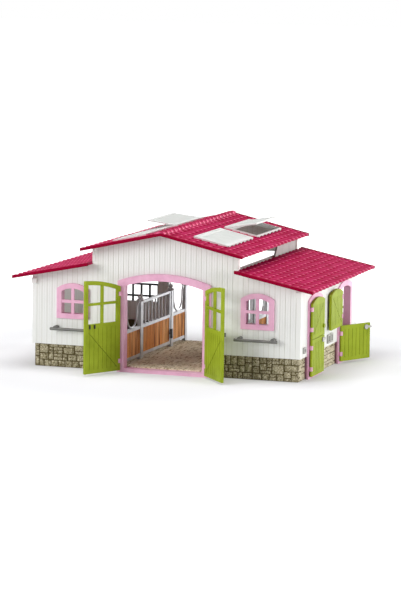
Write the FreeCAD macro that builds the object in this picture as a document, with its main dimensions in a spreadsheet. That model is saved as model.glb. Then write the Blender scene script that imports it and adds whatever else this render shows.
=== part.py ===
import FreeCAD, Part
import math
import os
import re

# Toy horse stable: a white boarded building with a raised middle aisle and two lower wings.
# Millimetres. The origin is on the ground at the middle of the footprint.
# X runs along the front, Y from the front wall to the back, Z up.

SIZES = [
    # Building shell
    ("house_depth", 408, "outside depth from front wall to back wall"),
    ("wall_thick", 10, "thickness of a boarded wall"),
    ("board_pitch", 10.8, "width of one wall board"),
    ("groove_width", 1.0, "width of the groove between two boards"),
    ("groove_depth", 0.6, "depth of the groove between two boards"),
    ("bead_depth", 0.3, "depth of the finer groove down the middle of a board"),
    ("plinth_height", 46, "height of the stone foot of the walls"),
    ("plinth_inset", 4, "how far the stone sits behind the boards"),
    ("plinth_thick", 10, "thickness of the stone foot"),
    ("floor_height", 10, "top of the sanded floor plate"),
    ("gable_half", 152, "half width of the raised middle part"),
    ("wing_width", 128, "width of a wing beside it"),
    ("trim_width", 6, "corner trim of the raised gable"),
    ("trim_proud", 1.5, "how far the corner trim stands out"),
    ("bracket_size", 10, "eave bracket on the outer front corners"),
    ("bracket_proud", 5, "how far the eave bracket stands out"),
    ("bracket_drop", 8, "eave bracket below the top of the wall"),
    # Roof
    ("wing_head", 51, "upper edge of a wing roof above the side door frames"),
    ("main_rise", 66.5, "ridge above the upper edge of a wing roof"),
    ("main_pitch", 12.6, "slope of the main roof in degrees"),
    ("wing_pitch", 11.5, "slope of a wing roof in degrees"),
    ("main_overhang", 16, "main eave past the raised gable"),
    ("wing_overhang", 32, "wing eave past the side wall"),
    ("front_overhang", 30, "roof past the front wall"),
    ("rear_overhang", 23, "roof past the back wall"),
    ("roof_sheet", 5.5, "thickness of a roof sheet over its waves"),
    ("wave_pitch", 24, "distance between two roof waves"),
    ("wave_height", 2.5, "height of a roof wave"),
    ("fascia_depth", 6.5, "depth of the front and back edge of a roof"),
    ("fascia_thick", 4, "thickness of that edge"),
    ("ridge_half", 9, "half width of the row of ridge tiles"),
    ("ridge_rise", 2.5, "ridge tiles above the roof crest"),
    ("purlin_in", 14, "purlin width inside the raised part"),
    ("purlin_out", 10, "purlin width under the wing roof"),
    ("purlin_depth", 12, "depth of the purlin"),
    ("clerestory_length", 150, "length of the panel between the two roofs"),
    ("clerestory_thick", 4, "thickness of that panel"),
    ("clerestory_back", 2, "panel behind the face of the raised part"),
    ("clerestory_slant", 40, "lean of the panel's front edge in degrees"),
    # Skylights
    ("sky_near", 50, "upper edge of a skylight from the ridge, in plan"),
    ("sky_reach", 70, "size of a skylight down the slope, in plan"),
    ("sky_length", 168, "size of a skylight along the ridge"),
    ("sky_between", 27, "roof between two skylights"),
    ("sky_shift", 7, "middle of the skylights behind the middle of the roof"),
    ("sky_rim", 7, "rim of a skylight frame and of its flap"),
    ("sky_edge", 3, "raised edge of a skylight frame around its flap"),
    ("sky_lift", 1.8, "skylight frame above the roof crest"),
    ("sky_under", 1, "skylight frame below the roof sheet"),
    ("flap_thick", 2.6, "thickness of a skylight flap"),
    ("pane_thick", 1.4, "thickness of its frosted pane"),
    ("flap_gap", 0.4, "clearance around a flap"),
    ("flap_open_left", 19, "opening of the rear left flap in degrees"),
    ("flap_open_right", 22.5, "opening of the rear right flap in degrees"),
    ("flap_pin", 0.7, "radius of a flap's hinge pin"),
    ("flap_pin_length", 4, "length of a flap's hinge pin"),
    # Arched openings: outline of the pink frame, and its fit in the wall
    ("door_half", 96, "half width of the front door frame"),
    ("door_apex", 199, "top of the front door frame"),
    ("door_rise", 17, "rise of its arch"),
    ("door_band", 14, "width of its band"),
    ("door_proud", 8, "how far it stands out of the wall"),
    ("door_sill", 7, "height of its threshold"),
    ("window_half", 33.5, "half width of a window frame"),
    ("window_apex", 171, "top of a window frame"),
    ("window_rise", 11, "rise of its arch"),
    ("window_band", 10, "width of its band"),
    ("window_proud", 5, "how far it stands out of the wall"),
    ("window_foot", 100, "underside of a window frame"),
    ("window_bar", 6, "width of a glazing bar"),
    ("window_bar_level", 134.5, "middle of the cross bar"),
    ("window_bar_thick", 4, "thickness of a glazing bar"),
    ("window_from_gable", 7, "front window frame beside the raised middle part"),
    ("side_window_place", 108, "middle of a side window from the middle of the house"),
    ("stable_half", 49, "half width of a side door frame"),
    ("stable_apex", 166, "top of a side door frame"),
    ("stable_rise", 11, "rise of its arch"),
    ("stable_band", 11, "width of its band"),
    ("stable_proud", 3, "how far it stands out of the wall"),
    ("stable_sill", 4, "height of its threshold"),
    ("stable_place", 108, "middle of a side door from the middle of the house"),
    ("collar_wall", 4, "wall of the collar that goes through the boards"),
    ("collar_past", 2, "collar past the inner face of the boards"),
    ("seat_gap", 0.2, "clearance between a collar and its hole"),
    # Door leaves and their clip hinges
    ("leaf_thick", 5, "thickness of a door leaf"),
    ("leaf_lap", 3, "leaf over the edge of the opening"),
    ("leaf_gap", 1, "gap between two leaves"),
    ("leaf_stile", 8, "frame of a glazed leaf"),
    ("leaf_bar", 5, "glazing bar of a leaf"),
    ("plank_pitch", 11, "width of one door plank"),
    ("plank_groove", 0.4, "depth of the groove between two planks"),
    ("brace_groove", 0.9, "depth of the slanting groove of a leaf"),
    ("door_hinge_in", 8.5, "hinge axis of a front leaf outside the opening"),
    ("hinge_in", 4.5, "hinge axis of a side leaf outside the opening"),
    ("hinge_out", 3.8, "hinge axis in front of the frame"),
    ("pin_radius", 1.8, "radius of a leaf's hinge pin"),
    ("pin_play", 0.05, "running clearance of a pin in its hole"),
    ("clip_wall", 1.75, "wall of a hinge clip"),
    ("clip_height", 8, "height of a hinge clip"),
    ("clip_gap", 0.4, "clearance between a leaf and a clip"),
    ("clip_web", 3, "width of the web that carries a clip"),
    ("door_foot", 4, "underside of a front leaf"),
    ("door_light", 102, "sill of the panes in a front leaf"),
    ("door_cross", 141, "middle of the cross bar in a front leaf"),
    ("door_clip_from_foot", 19, "lower clip of a front leaf above its underside"),
    ("door_clip_from_apex", 42, "upper clip of a front leaf below the top of its frame"),
    ("door_open_left", 119, "opening of the left front leaf in degrees"),
    ("door_open_right", 130, "opening of the right front leaf in degrees"),
    ("handle_from_light", 5, "handles below the sill of the panes"),
    ("handle_in", 11, "first staple of the left handle from the free edge"),
    ("handle_step", 12.5, "distance between its two staples"),
    ("handle_edge", 5, "right handle from the free edge"),
    ("handle_pin", 1.1, "radius of a handle's pin"),
    ("handle_half", 4, "half height of a handle"),
    ("handle_width", 2.8, "width of a staple"),
    ("handle_proud", 4, "how far a handle stands out"),
    ("leaf_foot", 5, "underside of a lower side leaf"),
    ("leaf_split", 78.5, "where the lower and upper side leaves meet"),
    ("clip_from_foot", 15, "lower clip of a lower leaf above its underside"),
    ("clip_below_split", 16.5, "upper clip of a lower leaf below the split"),
    ("clip_above_split", 19.5, "lower clip of an upper leaf above the split"),
    ("clip_from_apex", 28, "upper clip of an upper leaf below the top of its frame"),
    ("upper_open", 180, "opening of the rear upper leaf in degrees"),
    ("lower_open", 28, "opening of the rear lower leaf in degrees"),
    ("knob_radius", 4, "knob of an upper leaf"),
    ("knob_proud", 3, "how far the knob stands out"),
    ("knob_above_split", 18.5, "knob above the split"),
    ("knob_in", 8.5, "middle of the knob from the free edge"),
    ("latch_in", 13, "latch pivot from the free edge"),
    ("latch_below_split", 8.5, "latch pivot below the split"),
    ("latch_disc", 5, "radius of the latch disc"),
    ("latch_thick", 2, "thickness of the latch"),
    ("latch_length", 15, "reach of the latch bar"),
    ("latch_width", 4, "width of the latch bar"),
    ("latch_pin", 1.5, "radius of the latch pivot"),
    # Stalls beside the aisle
    ("stall_place", 90, "middle of a stall front from the middle of the house"),
    ("stall_thick", 8, "depth of the posts"),
    ("rail_thick", 6, "thickness of the rails"),
    ("post_width", 12, "width of a post along the aisle"),
    ("wall_post", 4, "width of the post at the front wall"),
    ("front_bay", 86, "fixed panel in front of the gate"),
    ("rear_bay", 78, "fixed panel behind the gate"),
    ("finial_height", 6, "height of a finial"),
    ("finial_radius", 4.5, "radius of a finial's foot"),
    ("finial_tip", 1.5, "radius of a finial's top"),
    ("foot_clear", 1.1, "lower lug of a gate above the floor"),
    ("rail_height", 6, "height of a rail"),
    ("wood_height", 50, "wooden panel between the rails"),
    ("wood_thick", 4, "thickness of a wooden panel"),
    ("stall_plank", 19, "width of one plank of a wooden panel"),
    ("swan_drop", 3.9, "ends of the hanging swan-neck bars below the top of a post"),
    ("swan_curl", 12, "radius of the curl at both ends of a swan-neck bar"),
    ("swan_sink", 0.6, "swan-neck bar let into the rail under it"),
    ("bar_radius", 1.8, "radius of a stall bar"),
    ("gate_bar_height", 49, "barred part of a gate above its rail"),
    ("gate_top_bar", 4.5, "height of the top bar of a gate"),
    ("gate_gap", 3, "gap between a gate and the post it closes on"),
    ("gate_pin", 1.5, "radius of a gate's hinge pin"),
    ("gate_axis", 4.5, "gate hinge axis from its post"),
    ("lug_height", 4.5, "height of a lug that carries a gate"),
    ("gate_bars", 8, "spaces between the bars of a gate"),
    ("gate_latch_level", 38, "height of the latch on a gate"),
    ("gate_latch_half", 10, "half length of that latch"),
    ("gate_latch_width", 6, "width of that latch"),
    ("gate_latch_thick", 4, "thickness of that latch"),
    # Back of the house
    ("column_width", 24, "width of a back column, flush with the raised middle part"),
    ("column_depth", 14, "depth of a back column"),
    ("header_drop", 9, "underside of the back gable below the upper edge of a wing roof"),
    ("beam_depth", 12, "depth of the beam under a wing roof"),
    ("rear_wall_top", 86, "top of the low wall behind a wing"),
    ("grille_height", 39, "height of the black grille on that wall"),
    ("grille_bar", 4, "width of a grille bar"),
    ("grille_pitch", 18, "distance between two grille bars"),
    ("grille_mid_up", 14, "middle bar of a grille above that wall"),
    ("grille_inset", 4, "grille in front of the back face"),
    # Fittings on the walls
    ("hitch_length", 88, "hitching bar under a front window"),
    ("hitch_level", 79, "height of a hitching bar"),
    ("hitch_radius", 3, "radius of a hitching bar"),
    ("hitch_out", 13, "hitching bar in front of the wall"),
    ("hitch_foot", 8, "thickness of a foot of a hitching bar"),
    ("hitch_lift", 2.5, "middle of a foot above the middle of the bar"),
    ("hitch_end", 10, "foot of a hitching bar from its end"),
    ("socket_wide", 15, "width of a middle socket"),
    ("socket_tall", 18, "height of a middle socket"),
    ("socket_front_wide", 13, "width of the front socket"),
    ("socket_front_tall", 12, "height of the front socket"),
    ("socket_thick", 3.5, "thickness of a socket"),
    ("socket_rim", 3, "rim round the slot of a socket"),
    ("socket_level", 61, "height of the sockets"),
    ("socket_front", 24, "middle of the front socket from the front wall"),
    ("socket_middle", 1, "middle of the pair of sockets behind the middle of the house"),
    ("socket_apart", 20, "distance between these two sockets"),
]

# Values worked out from the sizes above, each written once.
PLACES = [
    ("front", "-house_depth / 2"),
    ("rear", "house_depth / 2"),
    ("side", "gable_half + wing_width"),
    ("inner_front", "front + wall_thick"),
    ("inner_rear", "rear - wall_thick"),
    ("inner_side", "side - wall_thick"),
    ("stone_out", "plinth_inset"),
    ("stone_in", "plinth_inset + plinth_thick"),
    ("main_slope", "tan(main_pitch * 1 deg)"),
    ("wing_slope", "tan(wing_pitch * 1 deg)"),
    ("main_eave", "gable_half + main_overhang"),
    ("wing_eave", "side + wing_overhang"),
    ("roof_front", "front - front_overhang"),
    ("roof_rear", "rear + rear_overhang"),
    ("roof_middle", "(roof_front + roof_rear) / 2"),
    ("wing_top_height", "stable_apex + wing_head"),
    ("ridge_height", "wing_top_height + main_rise"),
    ("header_foot", "wing_top_height - header_drop"),
    ("main_under", "ridge_height - roof_sheet"),
    ("wing_under", "wing_top_height - roof_sheet"),
    ("front_window_place", "gable_half + window_from_gable + window_half"),
    ("door_arc", "door_half ^ 2 / (2 * door_rise) + door_rise / 2"),
    ("window_arc", "window_half ^ 2 / (2 * window_rise) + window_rise / 2"),
    ("stable_arc", "stable_half ^ 2 / (2 * stable_rise) + stable_rise / 2"),
    ("door_open_half", "door_half - door_band"),
    ("stable_open_half", "stable_half - stable_band"),
    ("door_hole", "door_open_half + collar_wall + seat_gap"),
    ("stable_hole", "stable_open_half + collar_wall + seat_gap"),
    ("door_hinge", "door_open_half + door_hinge_in"),
    ("stable_hinge", "stable_open_half + hinge_in"),
    ("door_axis_y", "front - door_proud - hinge_out"),
    ("stable_axis_x", "side + stable_proud + hinge_out"),
    ("door_leaf", "door_hinge - leaf_gap / 2"),
    ("stable_leaf", "stable_hinge + stable_open_half + leaf_lap"),
    ("clip_radius", "pin_radius + clip_wall"),
    ("door_clip_low", "door_foot + door_clip_from_foot"),
    ("door_clip_high", "door_apex - door_clip_from_apex"),
    ("handle_level", "door_light - handle_from_light"),
    ("lower_clip_low", "leaf_foot + clip_from_foot"),
    ("lower_clip_high", "leaf_split - clip_below_split"),
    ("upper_clip_low", "leaf_split + clip_above_split"),
    ("upper_clip_high", "stable_apex - clip_from_apex"),
    ("latch_level", "leaf_split - latch_below_split"),
    ("knob_level", "leaf_split + knob_above_split"),
    ("sky_far", "sky_near + sky_reach"),
    ("sky_top", "ridge_height + sky_lift"),
    ("sky_ledge", "sky_top - (flap_thick + flap_gap) / cos(main_pitch * 1 deg)"),
    ("sky_axis_x", "sky_near + sky_edge + flap_gap + flap_thick / 2"),
    ("flap_middle", "sky_top - flap_thick / 2 / cos(main_pitch * 1 deg)"),
    ("sky_axis_z", "flap_middle - sky_axis_x * main_slope"),
    ("flap_reach", "(sky_far - sky_edge - flap_gap - sky_axis_x) / cos(main_pitch * 1 deg)"),
    ("sky_front_start", "roof_middle + sky_shift - sky_between / 2 - sky_length"),
    ("sky_rear_start", "roof_middle + sky_shift + sky_between / 2"),
    ("stall_start", "front + stone_in"),
    ("post_one", "stall_start + wall_post + front_bay"),
    ("post_three", "rear - stone_in - post_width"),
    ("post_two", "post_three - rear_bay - post_width"),
    ("rail_foot", "floor_height + foot_clear + lug_height + clip_gap"),
    ("wood_foot", "rail_foot + rail_height"),
    ("wood_top", "wood_foot + wood_height"),
    ("rail_top", "wood_top + rail_height"),
    ("gate_top", "rail_top + gate_bar_height"),
    ("gate_pin_length", "clip_gap + lug_height"),
    ("post_top", "gate_top + gate_pin_length"),
    ("swan_level", "post_top - swan_drop"),
    ("gate_axis_y", "post_one + post_width + gate_axis"),
    ("gate_length", "post_two - gate_gap - gate_axis_y"),
    ("gate_foot", "rail_foot"),
    ("column_in", "gable_half - column_width"),
    ("column_out", "gable_half"),
    ("grille_top", "rear_wall_top + grille_height"),
    ("grille_mid", "rear_wall_top + grille_mid_up"),
]

SIZE_NAMES = {row[0] for row in SIZES}
PLACE_NAMES = {row[0] for row in PLACES}
WORD = re.compile(r"[A-Za-z_]+")

X_AXIS = FreeCAD.Vector(1, 0, 0)
Y_AXIS = FreeCAD.Vector(0, 1, 0)
Z_AXIS = FreeCAD.Vector(0, 0, 1)
DIAGONAL = FreeCAD.Vector(1, 1, 1)
CUT_PAST = 5
QUARTER = 90
HALF = 180
THIRD = 120
ALONG = {
    "x": FreeCAD.Rotation(Y_AXIS, QUARTER),
    "y": FreeCAD.Rotation(X_AXIS, -QUARTER),
    "z": FreeCAD.Rotation(),
}

doc = FreeCAD.newDocument("horse_stable")
sizes = doc.addObject("Spreadsheet::Sheet", "sizes")
places = doc.addObject("Spreadsheet::Sheet", "places")
parts = []


def full(expression):
    """Write an expression with every size and place named by its sheet."""

    def with_sheet(match):
        word = match.group(0)
        if word in SIZE_NAMES:
            return "sizes." + word
        if word in PLACE_NAMES:
            return "places." + word
        return word

    return WORD.sub(with_sheet, str(expression))


def fill_sheets():
    for number, (name, value, note) in enumerate(SIZES, 1):
        sizes.set(f"A{number}", str(value))
        sizes.setAlias(f"A{number}", name)
        sizes.set(f"B{number}", note)
    doc.recompute()
    for number, (name, formula) in enumerate(PLACES, 1):
        places.set(f"A{number}", "=" + full(formula))
        places.setAlias(f"A{number}", name)
    doc.recompute()


def get(name):
    """The value of a size or a place, in millimetres or degrees."""
    sheet = sizes if name in SIZE_NAMES else places
    return float(sheet.get(name))


def bind(item, **expressions):
    for name, expression in expressions.items():
        item.setExpression(name.replace("__", "."), full(expression))
    return item


def put(item, x="0", y="0", z="0"):
    return bind(item, Placement__Base__x=x, Placement__Base__y=y, Placement__Base__z=z)


def box(name, x, y, z):
    """A block between two corners; each side is a pair of expressions, low and high."""
    item = doc.addObject("Part::Box", name)
    bind(
        item,
        Length=f"({x[1]}) - ({x[0]})",
        Width=f"({y[1]}) - ({y[0]})",
        Height=f"({z[1]}) - ({z[0]})",
    )
    return put(item, x[0], y[0], z[0])


def rod(name, radius, start, length, along="z"):
    """A round bar from a start point along one axis."""
    item = doc.addObject("Part::Cylinder", name)
    item.Placement = FreeCAD.Placement(FreeCAD.Vector(), ALONG[along])
    bind(item, Radius=radius, Height=length)
    return put(item, *start)


def slope(name, x, near, far, y):
    """A block whose lower and upper faces slope along X; near and far are its height pairs at x."""
    item = doc.addObject("Part::Wedge", name)
    item.Placement = FreeCAD.Placement(FreeCAD.Vector(), FreeCAD.Rotation(DIAGONAL, -THIRD))
    return bind(
        item,
        Ymin=x[0], Ymax=x[1],
        Xmin=near[0], Xmax=near[1],
        X2min=far[0], X2max=far[1],
        Zmin=y[0], Zmax=y[1],
        Z2min=y[0], Z2max=y[1],
    )


def fuse(name, shapes):
    item = doc.addObject("Part::MultiFuse", name)
    item.Shapes = shapes
    item.Refine = True
    return item


def group(name, shapes):
    item = doc.addObject("Part::Compound", name)
    item.Links = shapes
    return item


def cut(name, base, tools):
    item = doc.addObject("Part::Cut", name)
    item.Base = base
    item.Tool = tools[0] if len(tools) == 1 else group(name + "_tools", tools)
    return item


def common(name, base, tool):
    item = doc.addObject("Part::Common", name)
    item.Base = base
    item.Tool = tool
    return item


def form(name, shape):
    item = doc.addObject("Part::Feature", name)
    item.Shape = shape
    return item


def part(item, label):
    item.Label = label
    parts.append(item)
    return item


def turn(item, axis, angle, x, y, z="0"):
    """Stand a piece made about its own hinge axis in its place, turned by an angle expression."""
    item.Placement = FreeCAD.Placement(FreeCAD.Vector(), FreeCAD.Rotation(axis, QUARTER))
    bind(item, Placement__Rotation__Angle=angle)
    return put(item, x, y, z)


def span(sign, low, high):
    """A pair of expressions, mirrored for the left-hand side."""
    if sign > 0:
        return (low, high)
    return (f"-({high})", f"-({low})")


def main_line(height, x):
    """Height at a distance from the middle, on a line along the main roof's slope."""
    return f"({height}) - ({x}) * main_slope"


def wing_line(height, x):
    """Height at a distance from the middle, on a line along a wing roof's slope."""
    return f"({height}) - (({x}) - gable_half) * wing_slope"


def sloped(name, sign, x, low, high, y):
    """A sloping block on one side; low and high give the height at a distance from the middle."""
    near = (low(x[0]), high(x[0]))
    far = (low(x[1]), high(x[1]))
    if sign > 0:
        return slope(name, x, near, far, y)
    return slope(name, span(sign, *x), far, near, y)


def main_under_at(x):
    return main_line("main_under", x)


def wing_under_at(x):
    return wing_line("wing_under", x)


def level(height):
    return lambda x: height


def copies(low, high, pitch):
    """Places of evenly spaced lines between two ends, centred between them."""
    middle = (low + high) / 2
    count = int((high - low) / 2 / pitch)
    return [middle + pitch * step for step in range(-count, count + 1)]


def arch(name, kind, centre, depth, grow, foot, facing):
    """A block with a round top, grown outwards from the outline of one kind of frame."""
    across = (f"{centre} - {kind}_half - ({grow})", f"{centre} + {kind}_half + ({grow})")
    height = (foot, f"{kind}_apex + ({grow})")
    axis_height = f"{kind}_apex - {kind}_arc"
    radius = f"{kind}_arc + ({grow})"
    length = f"({depth[1]}) - ({depth[0]})"
    if facing == "front":
        block = box(name + "_block", across, depth, height)
        round_top = rod(name + "_round", radius, (centre, depth[0], axis_height), length, "y")
    else:
        block = box(name + "_block", depth, across, height)
        round_top = rod(name + "_round", radius, (depth[0], centre, axis_height), length, "x")
    return common(name, block, round_top)


def frame_rings(name, kind, centre, flange, collar, foot, inner_foot, facing):
    """The flange and the collar of a frame, as one piece with its opening cut."""
    past = (f"{flange[0]} - {CUT_PAST}", f"{collar[1]} + {CUT_PAST}")
    if facing == "right":
        past = (f"{collar[0]} - {CUT_PAST}", f"{flange[1]} + {CUT_PAST}")
    band = f"{kind}_band"
    outer = arch(name + "_flange", kind, centre, flange, "0", foot, facing)
    collar_foot = f"{inner_foot} - collar_wall" if inner_foot != foot else foot
    sleeve = arch(name + "_collar", kind, centre, collar, f"collar_wall - {band}", collar_foot, facing)
    opening_foot = inner_foot if inner_foot != foot else f"{foot} - {CUT_PAST}"
    opening = arch(name + "_opening", kind, centre, past, f"-{band}", opening_foot, facing)
    return cut(name + "_rings", fuse(name + "_solid", [outer, sleeve]), [opening])


def wall_hole(name, kind, centre, depth, foot, facing):
    """The hole in the boards that takes the collar of a frame."""
    grow = f"collar_wall + seat_gap - {kind}_band"
    return arch(name, kind, centre, depth, grow, foot, facing)


def board_grooves(name, face, low, high, foot, top, facing):
    """Upright grooves between and along the boards of one wall face; face is the plane, facing its side."""
    width = get("groove_width")
    joints = copies(low, high, get("board_pitch"))
    lines = [(place, get("groove_depth")) for place in joints]
    lines += [(place + get("board_pitch") / 2, get("bead_depth")) for place in joints[:-1]]
    strips = []
    for place, depth in lines:
        start = place - width / 2
        if facing == "front":
            corner = FreeCAD.Vector(start, face, foot)
            strips.append(Part.makeBox(width, depth, top - foot, corner))
        else:
            inward = face - depth if facing == "right" else face
            corner = FreeCAD.Vector(inward, start, foot)
            strips.append(Part.makeBox(depth, width, top - foot, corner))
    return form(name, Part.makeCompound(strips))


# Floor and stone foot

def floor_plate():
    inside = ("stone_in - side", "side - stone_in")
    plate = box("floor", inside, ("front + stone_in", "rear - stone_in"), ("0", "floor_height"))
    part(plate, "floor_plate")


def plinths():
    tall = ("0", "plinth_height")
    front_y = ("front + stone_out", "front + stone_in")
    rear_y = ("rear - stone_in", "rear - stone_out")
    front_pieces = []
    rear_pieces = []
    for sign, name in ((-1, "left"), (1, "right")):
        front_x = span(sign, "door_hole", "side - stone_out")
        front_pieces.append(box(f"front_stone_{name}", front_x, front_y, tall))
        rear_x = span(sign, "column_out", "side - stone_in")
        rear_pieces.append(box(f"rear_stone_{name}", rear_x, rear_y, tall))
    part(group("front_stones", front_pieces), "front_plinths")
    part(group("rear_stones", rear_pieces), "rear_plinths")
    left_x = span(-1, "side - stone_in", "side - stone_out")
    part(box("left_stone", left_x, ("front + stone_in", "rear - stone_out"), tall), "left_plinth")
    right_x = span(1, "side - stone_in", "side - stone_out")
    stretches = [
        ("front + stone_in", "-stable_place - stable_hole"),
        ("-stable_place + stable_hole", "stable_place - stable_hole"),
        ("stable_place + stable_hole", "rear - stone_out"),
    ]
    right_pieces = []
    for number, stretch in enumerate(stretches):
        right_pieces.append(box(f"right_stone_{number}", right_x, stretch, tall))
    part(group("right_stones", right_pieces), "right_plinths")


# Boarded walls

def front_gable():
    deep = ("front", "inner_front")
    foot = level("plinth_height")
    halves = []
    for sign, name in ((-1, "left"), (1, "right")):
        half = ("0", "gable_half")
        halves.append(sloped(f"gable_{name}", sign, half, foot, main_under_at, deep))
        edge = ("gable_half - trim_width", "gable_half")
        trim_foot = level("wing_top_height")
        strip = ("front - trim_proud", "front")
        halves.append(sloped(f"gable_trim_{name}", sign, edge, trim_foot, main_under_at, strip))
    solid = fuse("gable_solid", halves)
    past = (f"front - {CUT_PAST}", f"inner_front + {CUT_PAST}")
    hole = wall_hole("gable_hole", "door", "0", past, "0", "front")
    reach = get("gable_half") - get("trim_width")
    top = get("ridge_height")
    grooves = board_grooves("gable_grooves", get("front"), -reach, reach, 0, top, "front")
    part(cut("gable", solid, [hole, grooves]), "front_gable_panel")


def front_wing(sign, name):
    deep = ("front", "inner_front")
    reach = ("gable_half", "side")
    foot = level("plinth_height")
    panel = sloped(f"wing_{name}_panel", sign, reach, foot, wing_under_at, deep)
    bracket_top = wing_under_at("side") + " - bracket_drop"
    bracket = box(
        f"wing_{name}_bracket",
        span(sign, "side - bracket_size", "side"),
        ("front - bracket_proud", "front"),
        (f"{bracket_top} - bracket_size", bracket_top),
    )
    past = (f"front - {CUT_PAST}", f"inner_front + {CUT_PAST}")
    centre = "front_window_place" if sign > 0 else "-front_window_place"
    hole_foot = "window_foot + window_band - collar_wall - seat_gap"
    hole = wall_hole(f"wing_{name}_hole", "window", centre, past, hole_foot, "front")
    ends = sorted((sign * get("gable_half"), sign * get("side")))
    grooves = board_grooves(
        f"wing_{name}_grooves", get("front"), *ends, 0, get("wing_top_height"), "front"
    )
    boards = cut(f"wing_{name}_boards", panel, [hole, grooves])
    part(fuse(f"wing_{name}", [boards, bracket]), f"front_wing_panel_{name}")


def side_wall(sign, name, holes):
    reach = ("inner_side", "side")
    long = ("inner_front", "rear")
    panel = sloped(f"{name}_boards", sign, reach, level("plinth_height"), wing_under_at, long)
    face = sign * get("side")
    grooves = board_grooves(
        f"{name}_grooves", face, get("inner_front"), get("rear"), 0, get("wing_top_height"), name
    )
    part(cut(f"{name}_panel", panel, holes + [grooves]), f"{name}_wall")


def side_walls():
    left_past = (f"-side - {CUT_PAST}", f"-inner_side + {CUT_PAST}")
    right_past = (f"inner_side - {CUT_PAST}", f"side + {CUT_PAST}")
    left_holes = []
    right_holes = []
    for end, centre in (("front", "-"), ("rear", "")):
        hole_foot = "window_foot + window_band - collar_wall - seat_gap"
        left_centre = f"{centre}side_window_place"
        right_centre = f"{centre}stable_place"
        left_holes.append(
            wall_hole(f"left_hole_{end}", "window", left_centre, left_past, hole_foot, "left")
        )
        right_holes.append(
            wall_hole(f"right_hole_{end}", "stable", right_centre, right_past, "0", "right")
        )
    side_wall(-1, "left", left_holes)
    side_wall(1, "right", right_holes)


# Pink frames

def window(name, centre, flange, collar, bars, facing):
    rings = frame_rings(
        name, "window", centre, flange, collar, "window_foot", "window_foot + window_band", facing
    )
    upright = (f"{centre} - window_bar / 2", f"{centre} + window_bar / 2")
    across = (
        f"{centre} - window_half + window_band / 2",
        f"{centre} + window_half - window_band / 2",
    )
    tall = ("window_foot + window_band / 2", "window_apex - window_band / 2")
    flat = ("window_bar_level - window_bar / 2", "window_bar_level + window_bar / 2")
    if facing == "front":
        mullion = box(name + "_mullion", upright, bars, tall)
        transom = box(name + "_transom", across, bars, flat)
    else:
        mullion = box(name + "_mullion", bars, upright, tall)
        transom = box(name + "_transom", bars, across, flat)
    return fuse(name, [rings, mullion, transom])


def windows():
    flange = ("front - window_proud", "front")
    collar = ("front", "inner_front + collar_past")
    bars = ("front - window_bar_thick", "front")
    pair = []
    for name, sign in (("left", "-"), ("right", "")):
        centre = f"{sign}front_window_place"
        pair.append(window(f"front_window_{name}", centre, flange, collar, bars, "front"))
    part(group("front_window_pair", pair), "front_windows")
    flange = ("-side - window_proud", "-side")
    collar = ("-side", "collar_past - inner_side")
    bars = ("-side - window_bar_thick", "-side")
    pair = []
    for name, sign in (("front", "-"), ("rear", "")):
        centre = f"{sign}side_window_place"
        pair.append(window(f"side_window_{name}", centre, flange, collar, bars, "left"))
    part(group("side_window_pair", pair), "side_windows")


def clip_height_pair(middle):
    return (f"{middle} - clip_height / 2", f"{middle} + clip_height / 2")


def clips(name, x, y, web_x, web_y, heights):
    """Round hinge clips on an upright axis, each carried by a web, and the bores through them."""
    solids = []
    bores = []
    for number, middle in enumerate(heights):
        low, high = clip_height_pair(middle)
        ring = rod(f"{name}_ring_{number}", "clip_radius", (x, y, low), "clip_height")
        web = box(f"{name}_web_{number}", web_x, web_y, (low, high))
        solids += [ring, web]
        bore_start = (x, y, f"{low} - {CUT_PAST}")
        bore_length = f"clip_height + 2 * {CUT_PAST}"
        bores.append(rod(f"{name}_bore_{number}", "pin_radius + pin_play", bore_start, bore_length))
    return solids, bores


def front_door_frame():
    flange = ("front - door_proud", "front")
    collar = ("front", "inner_front + collar_past")
    rings = frame_rings("door_frame", "door", "0", flange, collar, "0", "0", "front")
    reach = "door_open_half + collar_wall"
    sill_depth = ("front - door_proud", "front + stone_in")
    sill = box("door_sill_bar", (f"-({reach})", reach), sill_depth, ("0", "door_sill"))
    solids = [rings, sill]
    bores = []
    for sign, name in ((-1, "left"), (1, "right")):
        x = "door_hinge" if sign > 0 else "-door_hinge"
        web_x = (f"{x} - clip_web / 2", f"{x} + clip_web / 2")
        web_y = ("door_axis_y + pin_radius + pin_play", "front - door_proud")
        heights = ("door_clip_low", "door_clip_high")
        more, holes = clips(f"door_clip_{name}", x, "door_axis_y", web_x, web_y, heights)
        solids += more
        bores += holes
    part(cut("door_frame", fuse("door_frame_whole", solids), bores), "front_door_frame")


def stable_door_frame(name, centre):
    flange = ("side", "side + stable_proud")
    collar = ("inner_side - collar_past", "side")
    rings = frame_rings(f"stable_frame_{name}", "stable", centre, flange, collar, "0", "0", "right")
    reach = "stable_open_half + collar_wall"
    sill = box(
        f"stable_sill_{name}",
        ("side - stone_in", "side + stable_proud"),
        (f"{centre} - ({reach})", f"{centre} + {reach}"),
        ("0", "stable_sill"),
    )
    y = f"{centre} - stable_hinge"
    web_x = ("side + stable_proud", "stable_axis_x - pin_radius - pin_play")
    web_y = (f"{y} - clip_web / 2", f"{y} + clip_web / 2")
    heights = ("lower_clip_low", "lower_clip_high", "upper_clip_low", "upper_clip_high")
    more, bores = clips(f"stable_clip_{name}", "stable_axis_x", y, web_x, web_y, heights)
    whole = fuse(f"stable_frame_{name}_whole", [rings, sill] + more)
    part(cut(f"stable_frame_{name}", whole, bores), f"stable_door_frame_{name}")


# Door leaves, each made about its own hinge axis and then turned into place

def plank_grooves(name, sign, width, low, high):
    """Upright grooves between the planks on both faces of a leaf."""
    strips = []
    for place in copies(0, width, get("plank_pitch")):
        if get("hinge_in") < place < width - get("hinge_in"):
            strips += face_grooves(sign * place, get("leaf_thick"), low, high)
    return form(name, Part.makeCompound(strips))


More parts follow.
